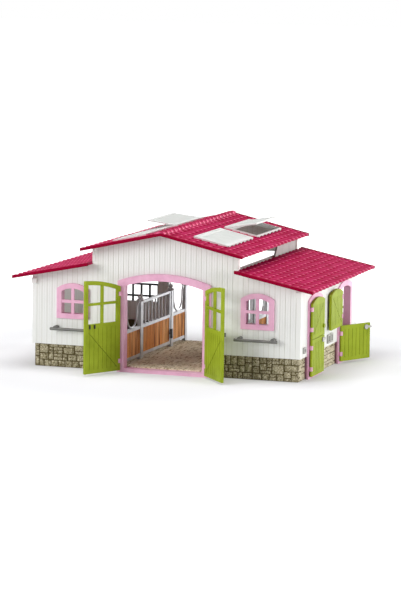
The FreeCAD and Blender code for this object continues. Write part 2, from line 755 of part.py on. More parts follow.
def face_grooves(place, thick, low, high):
    """One groove on the front and one on the back of an upright board."""
    width = get("groove_width")
    depth = get("plank_groove")
    strips = []
    for face in (-thick / 2, thick / 2 - depth):
        corner = FreeCAD.Vector(place - width / 2, face, low)
        strips.append(Part.makeBox(width, depth, high - low, corner))
    return strips


def brace_groove(name, start, end):
    """A slanting groove on both faces of a leaf, from one point of its plane to another."""
    width = get("groove_width")
    depth = get("brace_groove")
    thick = get("leaf_thick")
    run = FreeCAD.Vector(end[0] - start[0], 0, end[1] - start[1])
    angle = -math.degrees(math.atan2(run.z, run.x))
    strips = []
    for face in (-thick / 2, thick / 2 - depth):
        strip = Part.makeBox(run.Length, depth, width)
        strip.Placement = FreeCAD.Placement(
            FreeCAD.Vector(start[0], face, start[1]), FreeCAD.Rotation(Y_AXIS, angle)
        )
        strips.append(strip)
    return form(name, Part.makeCompound(strips))


def leaf(name, sign, kind, foot, top, clip_levels, voids, extras):
    """A plank leaf with a round hinge edge, notched for its clips and fitted with pins."""
    half = "leaf_thick / 2"
    thick = (f"-{half}", half)
    width = f"{kind}_leaf"
    plate = box(f"{name}_plate", span(sign, "0", width), thick, (foot, top))
    edge = rod(f"{name}_edge", half, ("0", "0", foot), f"({top}) - ({foot})")
    body = fuse(f"{name}_blank", [plate, edge])
    if kind in top:
        centre = f"{kind}_hinge" if sign > 0 else f"-{kind}_hinge"
        axis = (centre, "-leaf_thick", f"{kind}_apex - {kind}_arc")
        radius = f"{kind}_arc - {kind}_band + leaf_lap"
        round_top = rod(f"{name}_round", radius, axis, "2 * leaf_thick", "y")
        body = common(f"{name}_arched", body, round_top)
    notches = []
    pins = []
    for number, middle in enumerate(clip_levels):
        low, high = clip_height_pair(middle)
        room = (f"{low} - clip_gap", f"{high} + clip_gap")
        notch_x = span(sign, f"-clip_radius - {CUT_PAST}", "clip_radius + clip_gap")
        notches.append(box(f"{name}_notch_{number}", notch_x, ("-leaf_thick", "leaf_thick"), room))
        pin_start = ("0", "0", f"{low} - clip_height / 2")
        pins.append(rod(f"{name}_pin_{number}", "pin_radius", pin_start, "2 * clip_height"))
    cleared = cut(f"{name}_cleared", body, notches + voids)
    return fuse(f"{name}_leaf", [cleared] + pins + extras)


def front_leaf(sign, name):
    title = f"door_{name}"
    hand = -sign
    width = get("door_leaf")
    light = span(hand, "leaf_stile", "door_leaf - leaf_stile")
    past = ("-leaf_thick", "leaf_thick")
    light_block = box(f"{title}_light_block", light, past, ("door_light", "door_apex"))
    centre = "door_hinge" if hand > 0 else "-door_hinge"
    axis = (centre, "-leaf_thick", "door_apex - door_arc")
    radius = "door_arc - door_band + leaf_lap - leaf_stile"
    light_round = rod(f"{title}_light_round", radius, axis, "2 * leaf_thick", "y")
    light_space = common(f"{title}_light_space", light_block, light_round)
    middle = span(hand, "door_leaf / 2 - leaf_bar / 2", "door_leaf / 2 + leaf_bar / 2")
    bars = [
        box(f"{title}_upright", middle, past, ("door_light", "door_apex")),
        box(f"{title}_cross", light, past, ("door_cross - leaf_bar / 2", "door_cross + leaf_bar / 2")),
    ]
    panes = cut(f"{title}_panes", light_space, bars)
    panel_top = get("door_light") - get("leaf_stile")
    panel_low = get("door_foot") + get("leaf_stile")
    grooves = plank_grooves(f"{title}_grooves", hand, width, panel_low, panel_top)
    brace_start = (hand * get("leaf_stile"), panel_low)
    brace_end = (hand * (width - get("leaf_stile")), panel_top - get("leaf_stile"))
    brace = brace_groove(f"{title}_brace", brace_start, brace_end)
    staples = ("handle_in", "handle_in + handle_step") if sign < 0 else ("handle_edge",)
    holes = [handle_hole(title, hand, number, inset) for number, inset in enumerate(staples)]
    voids = [panes, grooves, brace] + holes
    levels = ("door_clip_low", "door_clip_high")
    panel = leaf(title, hand, "door", "door_foot", "door_apex", levels, voids, [])
    x = "door_hinge" if sign > 0 else "-door_hinge"
    angle = "door_open_right" if sign > 0 else "-door_open_left"
    part(turn(panel, Z_AXIS, angle, x, "door_axis_y"), f"front_door_{name}")
    handle = door_handle(title, hand, staples)
    part(turn(handle, Z_AXIS, angle, x, "door_axis_y"), f"door_handle_{name}")


def handle_side(hand, inset):
    """Middle of a handle's staple across its leaf, at an inset from the free edge."""
    return f"{hand} * (door_leaf - ({inset}))"


def handle_hole(title, hand, number, inset):
    """The hole of a handle's pin; a pair of staples goes through the leaf, a single one halfway."""
    start = (handle_side(hand, inset), "-leaf_thick", "handle_level")
    length = "leaf_thick" if inset == "handle_edge" else "2 * leaf_thick"
    return rod(f"{title}_handle_hole_{number}", "handle_pin + pin_play", start, length, "y")


def door_handle(title, hand, insets):
    """A black handle: a pull on the outer face, and a staple inside for every pin that goes through."""
    face = "leaf_thick / 2 + clip_gap"
    tall = ("handle_level - handle_half", "handle_level + handle_half")
    low = f"door_leaf - ({insets[-1]}) - handle_width / 2"
    high = f"door_leaf - ({insets[0]}) + handle_width / 2"
    outer = (f"-({face} + handle_proud)", f"-({face})")
    solids = [box(f"{title}_pull", span(hand, low, high), outer, tall)]
    for number, inset in enumerate(insets):
        middle = handle_side(hand, inset)
        start = (middle, f"-({face})", "handle_level")
        if len(insets) == 1:
            solids.append(rod(f"{title}_handle_pin_{number}", "handle_pin", start, face, "y"))
        else:
            wide = (f"{middle} - handle_width / 2", f"{middle} + handle_width / 2")
            inner = (face, f"{face} + handle_proud / 2")
            solids.append(rod(f"{title}_handle_pin_{number}", "handle_pin", start, f"2 * ({face})", "y"))
            solids.append(box(f"{title}_staple_{number}", wide, inner, tall))
    return fuse(f"{title}_handle", solids)


def side_leaves(name, centre, lower_angle, upper_angle):
    """The lower and the upper leaf of one side door, with the latch of the lower leaf."""
    y = f"{centre} - stable_hinge"
    width = get("stable_leaf")
    split = get("leaf_split")
    foot = get("leaf_foot") + get("leaf_stile")
    lower_top = "leaf_split - leaf_gap / 2"
    upper_foot = "leaf_split + leaf_gap / 2"

    lower = f"lower_{name}"
    grooves = plank_grooves(f"{lower}_grooves", 1, width, foot, split - get("leaf_stile"))
    pivot = ("stable_leaf - latch_in", "-leaf_thick", "latch_level")
    pivot_hole = rod(f"{lower}_hole", "latch_pin + pin_play", pivot, "2 * leaf_thick", "y")
    levels = ("lower_clip_low", "lower_clip_high")
    panel = leaf(lower, 1, "stable", "leaf_foot", lower_top, levels, [grooves, pivot_hole], [])
    turned = f"{QUARTER} - {lower_angle}"
    part(turn(panel, Z_AXIS, turned, "stable_axis_x", y), f"stable_leaf_lower_{name}")
    part(turn(leaf_latch(lower), Z_AXIS, turned, "stable_axis_x", y), f"leaf_latch_{name}")

    upper = f"upper_{name}"
    low = split + get("leaf_stile")
    high = get("stable_apex") - get("stable_band") - get("stable_rise")
    grooves = plank_grooves(f"{upper}_grooves", 1, width, low, high)
    brace = brace_groove(f"{upper}_brace", (get("leaf_stile"), low), (width - get("leaf_stile"), high))
    knob_axis = ("stable_leaf - knob_in", "-leaf_thick / 2 - knob_proud", "knob_level")
    knob = rod(f"{upper}_knob", "knob_radius", knob_axis, "knob_proud + leaf_thick / 2", "y")
    levels = ("upper_clip_low", "upper_clip_high")
    panel = leaf(upper, 1, "stable", upper_foot, "stable_apex", levels, [grooves, brace], [knob])
    turned = f"{QUARTER} - {upper_angle}"
    part(turn(panel, Z_AXIS, turned, "stable_axis_x", y), f"stable_leaf_upper_{name}")


def leaf_latch(name):
    """A turning latch on the outer face of a lower leaf: a disc, a bar and a pivot through the leaf."""
    face = "-leaf_thick / 2 - clip_gap"
    pivot_x = "stable_leaf - latch_in"
    disc = rod(
        f"{name}_disc", "latch_disc", (pivot_x, f"{face} - latch_thick", "latch_level"), "latch_thick", "y"
    )
    bar = box(
        f"{name}_bar",
        (pivot_x, f"{pivot_x} + latch_length"),
        (f"{face} - latch_thick", face),
        ("latch_level - latch_width / 2", "latch_level + latch_width / 2"),
    )
    pivot = rod(
        f"{name}_pivot", "latch_pin", (pivot_x, face, "latch_level"), "leaf_thick + clip_gap", "y"
    )
    return fuse(f"{name}_latch", [disc, bar, pivot])


# Roof

def wave_sheet(name, sign, near, far, crest, slant):
    """A roof sheet with round waves side by side along the house, sloping down to its eave."""
    start = get("roof_front")
    end = get("roof_rear")
    low = crest - get("wave_height")
    under = crest - get("roof_sheet")
    count = round((end - start) / get("wave_pitch"))
    step = (end - start) / count
    x = sign * near
    edges = []
    for number in range(count):
        left = FreeCAD.Vector(x, start + step * number, low)
        top = FreeCAD.Vector(x, start + step * (number + 0.5), crest)
        right = FreeCAD.Vector(x, start + step * (number + 1), low)
        edges.append(Part.Arc(left, top, right).toShape())
    corners = [
        FreeCAD.Vector(x, end, low),
        FreeCAD.Vector(x, end, under),
        FreeCAD.Vector(x, start, under),
        FreeCAD.Vector(x, start, low),
    ]
    for first, second in zip(corners, corners[1:]):
        edges.append(Part.LineSegment(first, second).toShape())
    profile = Part.Face(Part.Wire(edges))
    reach = far - near
    return form(name, profile.extrude(FreeCAD.Vector(sign * reach, 0, -reach * slant)))


def fascias(name, sign, x, low, high):
    """The deeper front and back edges of a roof sheet."""
    front_edge = ("roof_front", "roof_front + fascia_thick")
    rear_edge = ("roof_rear - fascia_thick", "roof_rear")
    return [
        sloped(f"{name}_front_edge", sign, x, low, high, front_edge),
        sloped(f"{name}_rear_edge", sign, x, low, high, rear_edge),
    ]


def main_roof(sign, name):
    sheet = wave_sheet(
        f"main_{name}_sheet", sign, 0, get("main_eave"), get("ridge_height"), get("main_slope")
    )
    low = lambda x: main_line("ridge_height - fascia_depth", x)
    edges = fascias(f"main_{name}", sign, ("0", "main_eave"), low, main_under_at)
    holes = []
    for place in ("front", "rear"):
        across = span(sign, "sky_near - seat_gap", "sky_far + seat_gap")
        along = (f"sky_{place}_start - seat_gap", f"sky_{place}_start + sky_length + seat_gap")
        holes.append(box(f"main_{name}_hole_{place}", across, along, ("wing_top_height", "2 * ridge_height")))
    part(cut(f"main_{name}", fuse(f"main_{name}_whole", [sheet] + edges), holes), f"main_roof_{name}")


def wing_roof(sign, name):
    sheet = wave_sheet(
        f"wing_{name}_sheet",
        sign,
        get("gable_half"),
        get("wing_eave"),
        get("wing_top_height"),
        get("wing_slope"),
    )
    low = lambda x: wing_line("wing_top_height - fascia_depth", x)
    edges = fascias(f"wing_{name}_roof", sign, ("gable_half", "wing_eave"), low, wing_under_at)
    part(fuse(f"wing_{name}_roof", [sheet] + edges), f"wing_roof_{name}")


def ridge_cap():
    half = get("ridge_half")
    top = get("ridge_height")
    edge = top - half * get("main_slope")
    y = get("roof_front")
    left = FreeCAD.Vector(-half, y, edge)
    right = FreeCAD.Vector(half, y, edge)
    middle = FreeCAD.Vector(0, y, top)
    crown = FreeCAD.Vector(0, y, top + get("ridge_rise"))
    edges = [
        Part.Arc(left, crown, right).toShape(),
        Part.LineSegment(right, middle).toShape(),
        Part.LineSegment(middle, left).toShape(),
    ]
    length = get("roof_rear") - y
    cap = Part.Face(Part.Wire(edges)).extrude(FreeCAD.Vector(0, length, 0))
    part(form("ridge", cap), "ridge_cap")


def purlins():
    pieces = []
    panels = []
    for sign, name in ((-1, "left"), (1, "right")):
        reach = ("gable_half - purlin_in", "gable_half + purlin_out")
        foot = level(wing_under_at("gable_half + purlin_out") + " - purlin_depth")
        long = ("inner_front", "rear - column_depth")
        pieces.append(sloped(f"purlin_{name}", sign, reach, foot, wing_under_at, long))
        outer = "gable_half - clerestory_back"
        sheet = (f"{outer} - clerestory_thick", outer)
        panel_start = "inner_rear - clerestory_length"
        stretch = (panel_start, "inner_rear")
        whole = sloped(f"clerestory_{name}_whole", sign, sheet, wing_under_at, main_under_at, stretch)
        past = (f"{outer} - 2 * clerestory_thick", f"{outer} + clerestory_thick")
        block = box(
            f"clerestory_{name}_block",
            span(sign, *past),
            ("-clerestory_length", "0"),
            ("0", "clerestory_length"),
        )
        corner = group(f"clerestory_{name}_corner", [block])
        turn(corner, X_AXIS, "-clerestory_slant", "0", panel_start, wing_under_at("gable_half"))
        panels.append(cut(f"clerestory_{name}", whole, [corner]))
    part(group("purlin_pair", pieces), "roof_purlins")
    part(group("clerestory_pair", panels), "clerestory_panels")


# Skylights

def skylight_frame(sign, name, place):
    title = f"sky_{name}_{place}"
    start = f"sky_{place}_start"
    end = f"sky_{place}_start + sky_length"
    low = lambda x: main_line("main_under - sky_under", x)
    top = lambda x: main_line("sky_top", x)
    ledge = lambda x: main_line("sky_ledge", x)
    above = lambda x: main_line("2 * ridge_height", x)
    whole = sloped(f"{title}_whole", sign, ("sky_near", "sky_far"), low, top, (start, end))
    inside_x = ("sky_near + sky_edge", "sky_far - sky_edge")
    inside_y = (f"{start} + sky_edge", f"{end} - sky_edge")
    recess = sloped(f"{title}_recess", sign, inside_x, ledge, above, inside_y)
    opening = box(
        f"{title}_opening",
        span(sign, "sky_near + sky_rim", "sky_far - sky_rim"),
        (f"{start} + sky_rim", f"{end} - sky_rim"),
        ("wing_top_height", "2 * ridge_height"),
    )
    rim = cut(f"{title}_rim", whole, [recess, opening])
    x = "sky_axis_x" if sign > 0 else "-sky_axis_x"
    pin_length = "sky_edge + flap_pin_length"
    pins = [
        rod(f"{title}_pin_front", "flap_pin", (x, start, "sky_axis_z"), pin_length, "y"),
        rod(f"{title}_pin_rear", "flap_pin", (x, f"{end} - ({pin_length})", "sky_axis_z"), pin_length, "y"),
    ]
    return fuse(f"{title}_frame", [rim] + pins)


def skylight_flap(sign, name, place, opened):
    """A flap and its pane, made flat about the hinge axis and turned to the roof's slope."""
    title = f"flap_{name}_{place}"
    start = f"sky_{place}_start + sky_edge + flap_gap"
    end = f"sky_{place}_start + sky_length - sky_edge - flap_gap"
    thick = ("-flap_thick / 2", "flap_thick / 2")
    plate = box(f"{title}_plate", span(sign, "0", "flap_reach"), (start, end), thick)
    barrel = rod(f"{title}_barrel", "flap_thick / 2", ("0", start, "0"), f"({end}) - ({start})", "y")
    clear_x = span(sign, "sky_rim", "flap_reach - sky_rim")
    clear_y = (f"{start} + sky_rim", f"{end} - sky_rim")
    clear = box(f"{title}_clear", clear_x, clear_y, ("-flap_thick", "flap_thick"))
    depth = "flap_pin_length + flap_gap"
    bore = "flap_pin + pin_play"
    reach = f"{depth} + {CUT_PAST}"
    bores = [
        rod(f"{title}_bore_front", bore, ("0", f"{start} - {CUT_PAST}", "0"), reach, "y"),
        rod(f"{title}_bore_rear", bore, ("0", f"{end} - ({depth})", "0"), reach, "y"),
    ]
    rim = cut(f"{title}_rim", fuse(f"{title}_whole", [plate, barrel]), [clear] + bores)
    glazing = box(f"{title}_glazing", clear_x, clear_y, ("-pane_thick / 2", "pane_thick / 2"))
    pane = group(f"{title}_pane", [glazing])
    lean = f"main_pitch - {opened}" if sign > 0 else f"{opened} - main_pitch"
    x = "sky_axis_x" if sign > 0 else "-sky_axis_x"
    part(turn(rim, Y_AXIS, lean, x, "0", "sky_axis_z"), f"skylight_flap_{name}_{place}")
    part(turn(pane, Y_AXIS, lean, x, "0", "sky_axis_z"), f"skylight_pane_{name}_{place}")


# Stalls

def stall_rails(name, x, y):
    """The lower and the upper rail of a fixed panel."""
    low = box(f"{name}_low_rail", x, y, ("rail_foot", "wood_foot"))
    high = box(f"{name}_high_rail", x, y, ("wood_top", "rail_top"))
    return [low, high]


def stall_post(name, centre, x, start):
    """A post on the floor with a pointed finial."""
    post = box(f"{name}_post", x, (start, f"{start} + post_width"), ("floor_height", "post_top"))
    finial = doc.addObject("Part::Cone", f"{name}_finial")
    bind(finial, Radius1="finial_radius", Radius2="finial_tip", Height="finial_height")
    put(finial, centre, f"{start} + post_width / 2", "post_top")
    return [post, finial]


def bent_bar(name, radius, sweep, rotation, place):
    """A round bar bent to part of a ring."""
    item = doc.addObject("Part::Torus", name)
    item.Placement = FreeCAD.Placement(FreeCAD.Vector(), rotation)
    item.Angle3 = sweep
    bind(item, Radius1=radius, Radius2="bar_radius")
    return put(item, *place)


def swan_neck(name, centre, start, length):
    """A hanging bar that leaves both posts in a curl, drops and runs in a half ring along the rail."""
    upright = FreeCAD.Rotation(DIAGONAL, THIRD)
    near = f"{start} + swan_curl"
    far = f"{start} + {length} - swan_curl"
    radius = f"({length}) / 2 - swan_curl"
    bend = f"rail_top + bar_radius - swan_sink + {radius}"
    shoulder = "swan_level - swan_curl"
    middle = (centre, f"{start} + ({length}) / 2", bend)
    drop = f"{shoulder} - ({bend})"
    return [
        bent_bar(f"{name}_ring", radius, HALF, FreeCAD.Rotation(Y_AXIS, HALF) * upright, middle),
        rod(f"{name}_near_leg", "bar_radius", (centre, near, bend), drop),
        rod(f"{name}_far_leg", "bar_radius", (centre, far, bend), drop),
        bent_bar(f"{name}_near_curl", "swan_curl", QUARTER, upright, (centre, start, shoulder)),
        bent_bar(
            f"{name}_far_curl",
            "swan_curl",
            QUARTER,
            FreeCAD.Rotation(Z_AXIS, HALF) * upright,
            (centre, f"{start} + {length}", shoulder),
        ),
    ]


def gate_lugs(name, centre):
    """Lugs on the first post that hold the pins of the gate."""
    reach = ("post_one + post_width", "gate_axis_y + rail_thick / 2")
    x = (f"{centre} - rail_thick / 2", f"{centre} + rail_thick / 2")
    levels = [
        ("gate_foot - clip_gap - lug_height", "gate_foot - clip_gap"),
        ("gate_top + clip_gap", "gate_top + clip_gap + lug_height"),
    ]
    lugs = []
    holes = []
    for number, pair in enumerate(levels):
        lugs.append(box(f"{name}_lug_{number}", x, reach, pair))
        start = (centre, "gate_axis_y", f"{pair[0]} - {CUT_PAST}")
        length = f"lug_height + 2 * {CUT_PAST}"
        holes.append(rod(f"{name}_lug_hole_{number}", "gate_pin + pin_play", start, length))
    return lugs, holes


def stall_front(sign, name):
    centre = "stall_place" if sign > 0 else "-stall_place"
    deep = (f"{centre} - stall_thick / 2", f"{centre} + stall_thick / 2")
    thin = (f"{centre} - rail_thick / 2", f"{centre} + rail_thick / 2")
    bay = ("stall_start + wall_post", "post_one")

    title = f"stall_fore_{name}"
    wall_post = box(f"{title}_wall_post", deep, ("stall_start", bay[0]), ("floor_height", "post_top"))
    solids = [wall_post] + stall_rails(title, thin, bay) + stall_post(title, centre, deep, "post_one")
    solids += swan_neck(f"{title}_swan", centre, bay[0], "front_bay")
    lugs, holes = gate_lugs(title, centre)
    whole = fuse(f"{title}_whole", solids + lugs)
    part(cut(title, whole, holes), f"stall_front_frame_{name}")

    title = f"stall_aft_{name}"
    rear = ("post_two + post_width", "post_three")
    solids = stall_rails(title, thin, rear) + stall_post(title, centre, deep, "post_two")
    solids += stall_post(f"{title}_end", centre, deep, "post_three")
    solids += swan_neck(f"{title}_swan", centre, rear[0], "rear_bay")
    part(fuse(title, solids), f"stall_rear_frame_{name}")

    panels = []
    for place, stretch, ends in (
        ("fore", bay, ("post_one", "front_bay")),
        ("aft", rear, ("post_three", "rear_bay")),
    ):
        high = get(ends[0])
        panels.append(wood_panel(f"stall_wood_{name}_{place}", sign, stretch, high - get(ends[1]), high))
    part(group(f"stall_wood_{name}", panels), f"stall_wood_{name}")


def wood_panel(name, sign, stretch, low, high):
    """An upright plank panel between the rails, grooved on both faces."""
    centre = "stall_place" if sign > 0 else "-stall_place"
    deep = (f"{centre} - wood_thick / 2", f"{centre} + wood_thick / 2")
    board = box(f"{name}_board", deep, stretch, ("wood_foot", "wood_top"))
    strips = []
    width = get("groove_width")
    depth = get("plank_groove")
    thick = get("wood_thick")
    middle = sign * get("stall_place")
    for place in copies(low, high, get("stall_plank")):
        if low + width < place < high - width:
            for face in (middle - thick / 2, middle + thick / 2 - depth):
                corner = FreeCAD.Vector(face, place - width / 2, get("wood_foot"))
                strips.append(Part.makeBox(depth, width, get("wood_height"), corner))
    return cut(name, board, [form(f"{name}_grooves", Part.makeCompound(strips))])


def stall_gate(sign, name):
    title = f"gate_{name}"
    centre = "stall_place" if sign > 0 else "-stall_place"
    thin = (f"{centre} - rail_thick / 2", f"{centre} + rail_thick / 2")
    end = "gate_axis_y + gate_length"
    inner = ("gate_axis_y", f"{end} - rail_thick")
    stile = box(f"{title}_stile", thin, (f"{end} - rail_thick", end), ("gate_foot", "gate_top"))
    barrel_start = (centre, "gate_axis_y", "gate_foot")
    barrel = rod(f"{title}_barrel", "rail_thick / 2", barrel_start, "gate_top - gate_foot")
    pin_start = (centre, "gate_axis_y", "gate_foot - gate_pin_length")
    pin = rod(f"{title}_pin", "gate_pin", pin_start, "gate_top - gate_foot + 2 * gate_pin_length")
    top_bar = box(f"{title}_top_bar", thin, inner, ("gate_top - gate_top_bar", "gate_top"))
    solids = [stile, barrel, pin, top_bar] + stall_rails(title, thin, inner)
    spaces = int(get("gate_bars"))
    for number in range(1, spaces):
        place = f"gate_axis_y + (gate_length - rail_thick) * {number} / {spaces}"
        bar_start = (centre, place, "rail_top - rail_height / 2")
        solids.append(rod(f"{title}_bar_{number}", "bar_radius", bar_start, "gate_top - rail_top"))
    latch_y = f"{end} - rail_thick / 2"
    past = (f"{centre} - rail_thick", latch_y, "gate_latch_level")
    hole = rod(f"{title}_latch_hole", "latch_pin + pin_play", past, "2 * rail_thick", "x")
    part(cut(title, fuse(f"{title}_whole", solids), [hole]), f"stall_gate_{name}")

    low = get("gate_axis_y") + get("rail_thick") / 2
    high = get("gate_axis_y") + get("gate_length") - get("rail_thick")
    stretch = ("gate_axis_y + rail_thick / 2", f"{end} - rail_thick")
    part(wood_panel(f"gate_wood_{name}", sign, stretch, low, high), f"gate_wood_{name}")

    toward = -sign
    face = "stall_thick / 2 + clip_gap"
    inward = f"{toward} * ({centre})"
    plate_x = span(toward, f"{inward} + {face}", f"{inward} + {face} + gate_latch_thick")
    plate = box(
        f"{title}_latch_plate",
        plate_x,
        (f"{latch_y} - gate_latch_width / 2", f"{latch_y} + gate_latch_width / 2"),
        ("gate_latch_level - gate_latch_half", "gate_latch_level + gate_latch_half"),
    )
    pivot_x = span(toward, f"{inward} - rail_thick / 2", f"{inward} + {face}")
    pivot_start = (pivot_x[0], latch_y, "gate_latch_level")
    pivot_length = f"rail_thick / 2 + {face}"
    pivot = rod(f"{title}_latch_pivot", "latch_pin", pivot_start, pivot_length, "x")
    part(fuse(f"{title}_latch", [plate, pivot]), f"gate_latch_{name}")


# Back of the house

def rear_frame():
    deep = ("inner_rear", "rear")
    solids = []
    for sign, name in ((-1, "left"), (1, "right")):
        column_x = span(sign, "column_in", "column_out")
        column_y = ("rear - column_depth", "rear")
        solids.append(box(f"column_{name}", column_x, column_y, ("0", "header_foot")))
        gable = ("0", "gable_half")
        solids.append(sloped(f"header_{name}", sign, gable, level("header_foot"), main_under_at, deep))
        reach = ("gable_half", "inner_side")
        low = lambda x: wing_line("wing_under - beam_depth", x)
        solids.append(sloped(f"wing_beam_{name}", sign, reach, low, wing_under_at, deep))
    part(fuse("rear_portal", solids), "rear_gable_frame")


def rear_wings():
    panels = []
    grilles = []
    for sign, name in ((-1, "left"), (1, "right")):
        x = span(sign, "column_out", "inner_side")
        deep = ("inner_rear", "rear")
        panels.append(box(f"rear_panel_{name}", x, deep, ("plinth_height", "rear_wall_top")))
        bar_y = ("rear - grille_inset - grille_bar", "rear - grille_inset")
        bars = []
        for level_name, height in (("top", "grille_top"), ("mid", "grille_mid")):
            tall = (f"{height} - grille_bar", height)
            bars.append(box(f"grille_{name}_{level_name}", x, bar_y, tall))
        low = get("column_out") + get("grille_bar")
        high = get("inner_side") - get("grille_bar")
        count = round((high - low) / get("grille_pitch"))
        for number in range(count + 1):
            start = f"column_out + (inner_side - column_out - grille_bar) * {number} / {count}"
            bar_x = span(sign, start, f"{start} + grille_bar")
            bars.append(box(f"grille_{name}_bar_{number}", bar_x, bar_y, ("rear_wall_top", "grille_top")))
        grilles.append(fuse(f"grille_{name}", bars))
    part(group("rear_panel_pair", panels), "rear_wing_panels")
    part(group("grille_pair", grilles), "rear_grilles")


# Fittings on the walls

def hitching_bars():
    pair = []
    for sign, name in ((-1, "left"), (1, "right")):
        centre = "front_window_place" if sign > 0 else "-front_window_place"
        bar_y = "front - hitch_out"
        start = (f"{centre} - hitch_length / 2", bar_y, "hitch_level")
        solids = [rod(f"hitch_{name}_bar", "hitch_radius", start, "hitch_length", "x")]
        for end, end_name in ((-1, "a"), (1, "b")):
            foot = f"{centre} + {end} * (hitch_length / 2 - hitch_end)"
            foot_start = (foot, bar_y, "hitch_level + hitch_lift")
            title = f"hitch_{name}_foot_{end_name}"
            solids.append(rod(title, "hitch_foot / 2", foot_start, "hitch_out", "y"))
        pair.append(fuse(f"hitch_{name}", solids))
    part(group("hitch_pair", pair), "hitching_bars")


def wall_sockets():
    """Slotted holders on the right wall: one near the front, a pair in the middle."""
    sockets = []
    for name, centre, wide, tall in (
        ("front", "front + socket_front", "socket_front_wide", "socket_front_tall"),
        ("middle_a", "socket_middle - socket_apart / 2", "socket_wide", "socket_tall"),
        ("middle_b", "socket_middle + socket_apart / 2", "socket_wide", "socket_tall"),
    ):
        plate = box(
            f"socket_{name}_plate",
            ("side", "side + socket_thick"),
            (f"{centre} - {wide} / 2", f"{centre} + {wide} / 2"),
            (f"socket_level - {tall} / 2", f"socket_level + {tall} / 2"),
        )
        slot = box(
            f"socket_{name}_slot",
            (f"side - {CUT_PAST}", f"side + socket_thick + {CUT_PAST}"),
            (f"{centre} - {wide} / 2 + socket_rim", f"{centre} + {wide} / 2 - socket_rim"),
            (f"socket_level - {tall} / 2 + socket_rim", f"socket_level + {tall} / 2 - socket_rim"),
        )
        sockets.append(cut(f"socket_{name}", plate, [slot]))
    part(group("socket_set", sockets), "wall_sockets")


def build():
    fill_sheets()
    floor_plate()
    plinths()
    front_gable()
    side_walls()
    windows()
    front_door_frame()
    stable_door_frame("front", "-stable_place")
    stable_door_frame("rear", "stable_place")
    side_leaves("front", "-stable_place", "0", "0")
    side_leaves("rear", "stable_place", "lower_open", "upper_open")
    for sign, name in ((-1, "left"), (1, "right")):
        front_wing(sign, name)
        front_leaf(sign, name)
        main_roof(sign, name)
        wing_roof(sign, name)
        frames = [skylight_frame(sign, name, place) for place in ("front", "rear")]
        part(group(f"sky_{name}_frames", frames), f"skylight_frames_{name}")
        skylight_flap(sign, name, "front", "0")
        skylight_flap(sign, name, "rear", f"flap_open_{name}")
        stall_front(sign, name)
        stall_gate(sign, name)
    ridge_cap()
    purlins()
    rear_frame()
    rear_wings()
    hitching_bars()
    wall_sockets()
    doc.recompute()


def write():
    for item in doc.Objects:
        if "Invalid" in item.State or "Error" in item.State:
            raise RuntimeError(f"{item.Name} failed: {item.State}")
    for item in parts:
        if item.Shape.isNull() or not item.Shape.isValid():
            raise RuntimeError(f"{item.Label} has no valid shape")
    os.makedirs("parts", exist_ok=True)
    for item in parts:
        item.Shape.exportStep(f"parts/{item.Label}.step")
    print(len(parts), "sub-parts written")


build()
write()
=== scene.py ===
"""A toy horse stable: its finish, its tiled roofs, stone foot and sanded floor. Metres throughout."""

import math
import random
from collections import namedtuple

import bmesh
import bpy
from mathutils import Matrix, Vector, noise


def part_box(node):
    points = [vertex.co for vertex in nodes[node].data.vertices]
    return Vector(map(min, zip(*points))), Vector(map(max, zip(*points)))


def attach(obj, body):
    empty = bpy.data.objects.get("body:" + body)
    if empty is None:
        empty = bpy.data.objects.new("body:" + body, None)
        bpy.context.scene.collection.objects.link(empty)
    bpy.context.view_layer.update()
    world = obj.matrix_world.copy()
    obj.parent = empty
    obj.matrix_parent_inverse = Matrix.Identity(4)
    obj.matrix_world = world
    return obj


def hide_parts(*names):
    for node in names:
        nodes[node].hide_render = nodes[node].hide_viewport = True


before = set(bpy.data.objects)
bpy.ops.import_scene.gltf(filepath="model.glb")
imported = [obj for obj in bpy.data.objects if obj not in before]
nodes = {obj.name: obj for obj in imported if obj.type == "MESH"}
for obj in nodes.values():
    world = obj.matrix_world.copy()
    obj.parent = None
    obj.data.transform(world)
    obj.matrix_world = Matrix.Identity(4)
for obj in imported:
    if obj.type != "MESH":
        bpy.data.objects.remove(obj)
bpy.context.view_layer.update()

MM = 0.001
SIDES = ((-1, "left"), (1, "right"))
ENDS = ("front", "rear")
SMOOTH_ANGLE = 40

# Sizes that the model does not give
MAIN_PITCH = math.radians(12.6)
WING_PITCH = math.radians(11.5)
SKYLIGHT_LENGTH = 168 * MM
BOARD = 10.8 * MM
SIDE_BOARD_MIDDLE = 5 * MM
STALL_PLANK = 19 * MM

# Roof tiles: a row has its course, its share of the course and of the lift, and the strength of the painted
# highlight on its lip
Row = namedtuple("Row", "course share lift pale")
Hole = namedtuple("Hole", "upper lower front rear")
TILE_PROFILE = ((0.0, 0.0, 0.0), (0.5, 0.45, 0.0), (0.76, 0.76, 0.0), (0.9, 0.96, 1.0), (1.0, 1.0, 0.7))
COURSES = 10
WAVES = 19
WAVE_STEPS = 10
WAVE_HEIGHT = 2.6 * MM
WAVE_FULLNESS = 0.8
TILE_LIFT = 1.5 * MM
TILE_SCALLOP = 1.6 * MM
LIP_START = 0.78
SHEET = 5.5 * MM
VERGE_DEPTH = 6.5 * MM
VERGE_THICK = 4.5 * MM
VERGE_PROUD = 0.6 * MM
VERGE_ROUND = 0.9 * MM
VERGE_STEP = 0.35 * MM

# Ridge tiles: along one tile the share of its length, its flare and the strength of its painted highlight
RIDGE_PROFILE = ((0.0, 0.7, 1.0), (0.08, 1.0, 1.0), (0.5, 0.45, 0.0), (0.999, 0.0, 0.0))
RIDGE_TILES = 21
RIDGE_HALF = 8.5 * MM
RIDGE_RISE = 2.2 * MM
RIDGE_FLARE = 1.0 * MM
RIDGE_SINK = 3 * MM
RIDGE_STEPS = 10
RIDGE_FULLNESS = 0.8
RIDGE_HIGHLIGHT_STEPS = (1, 2, 8, 9)

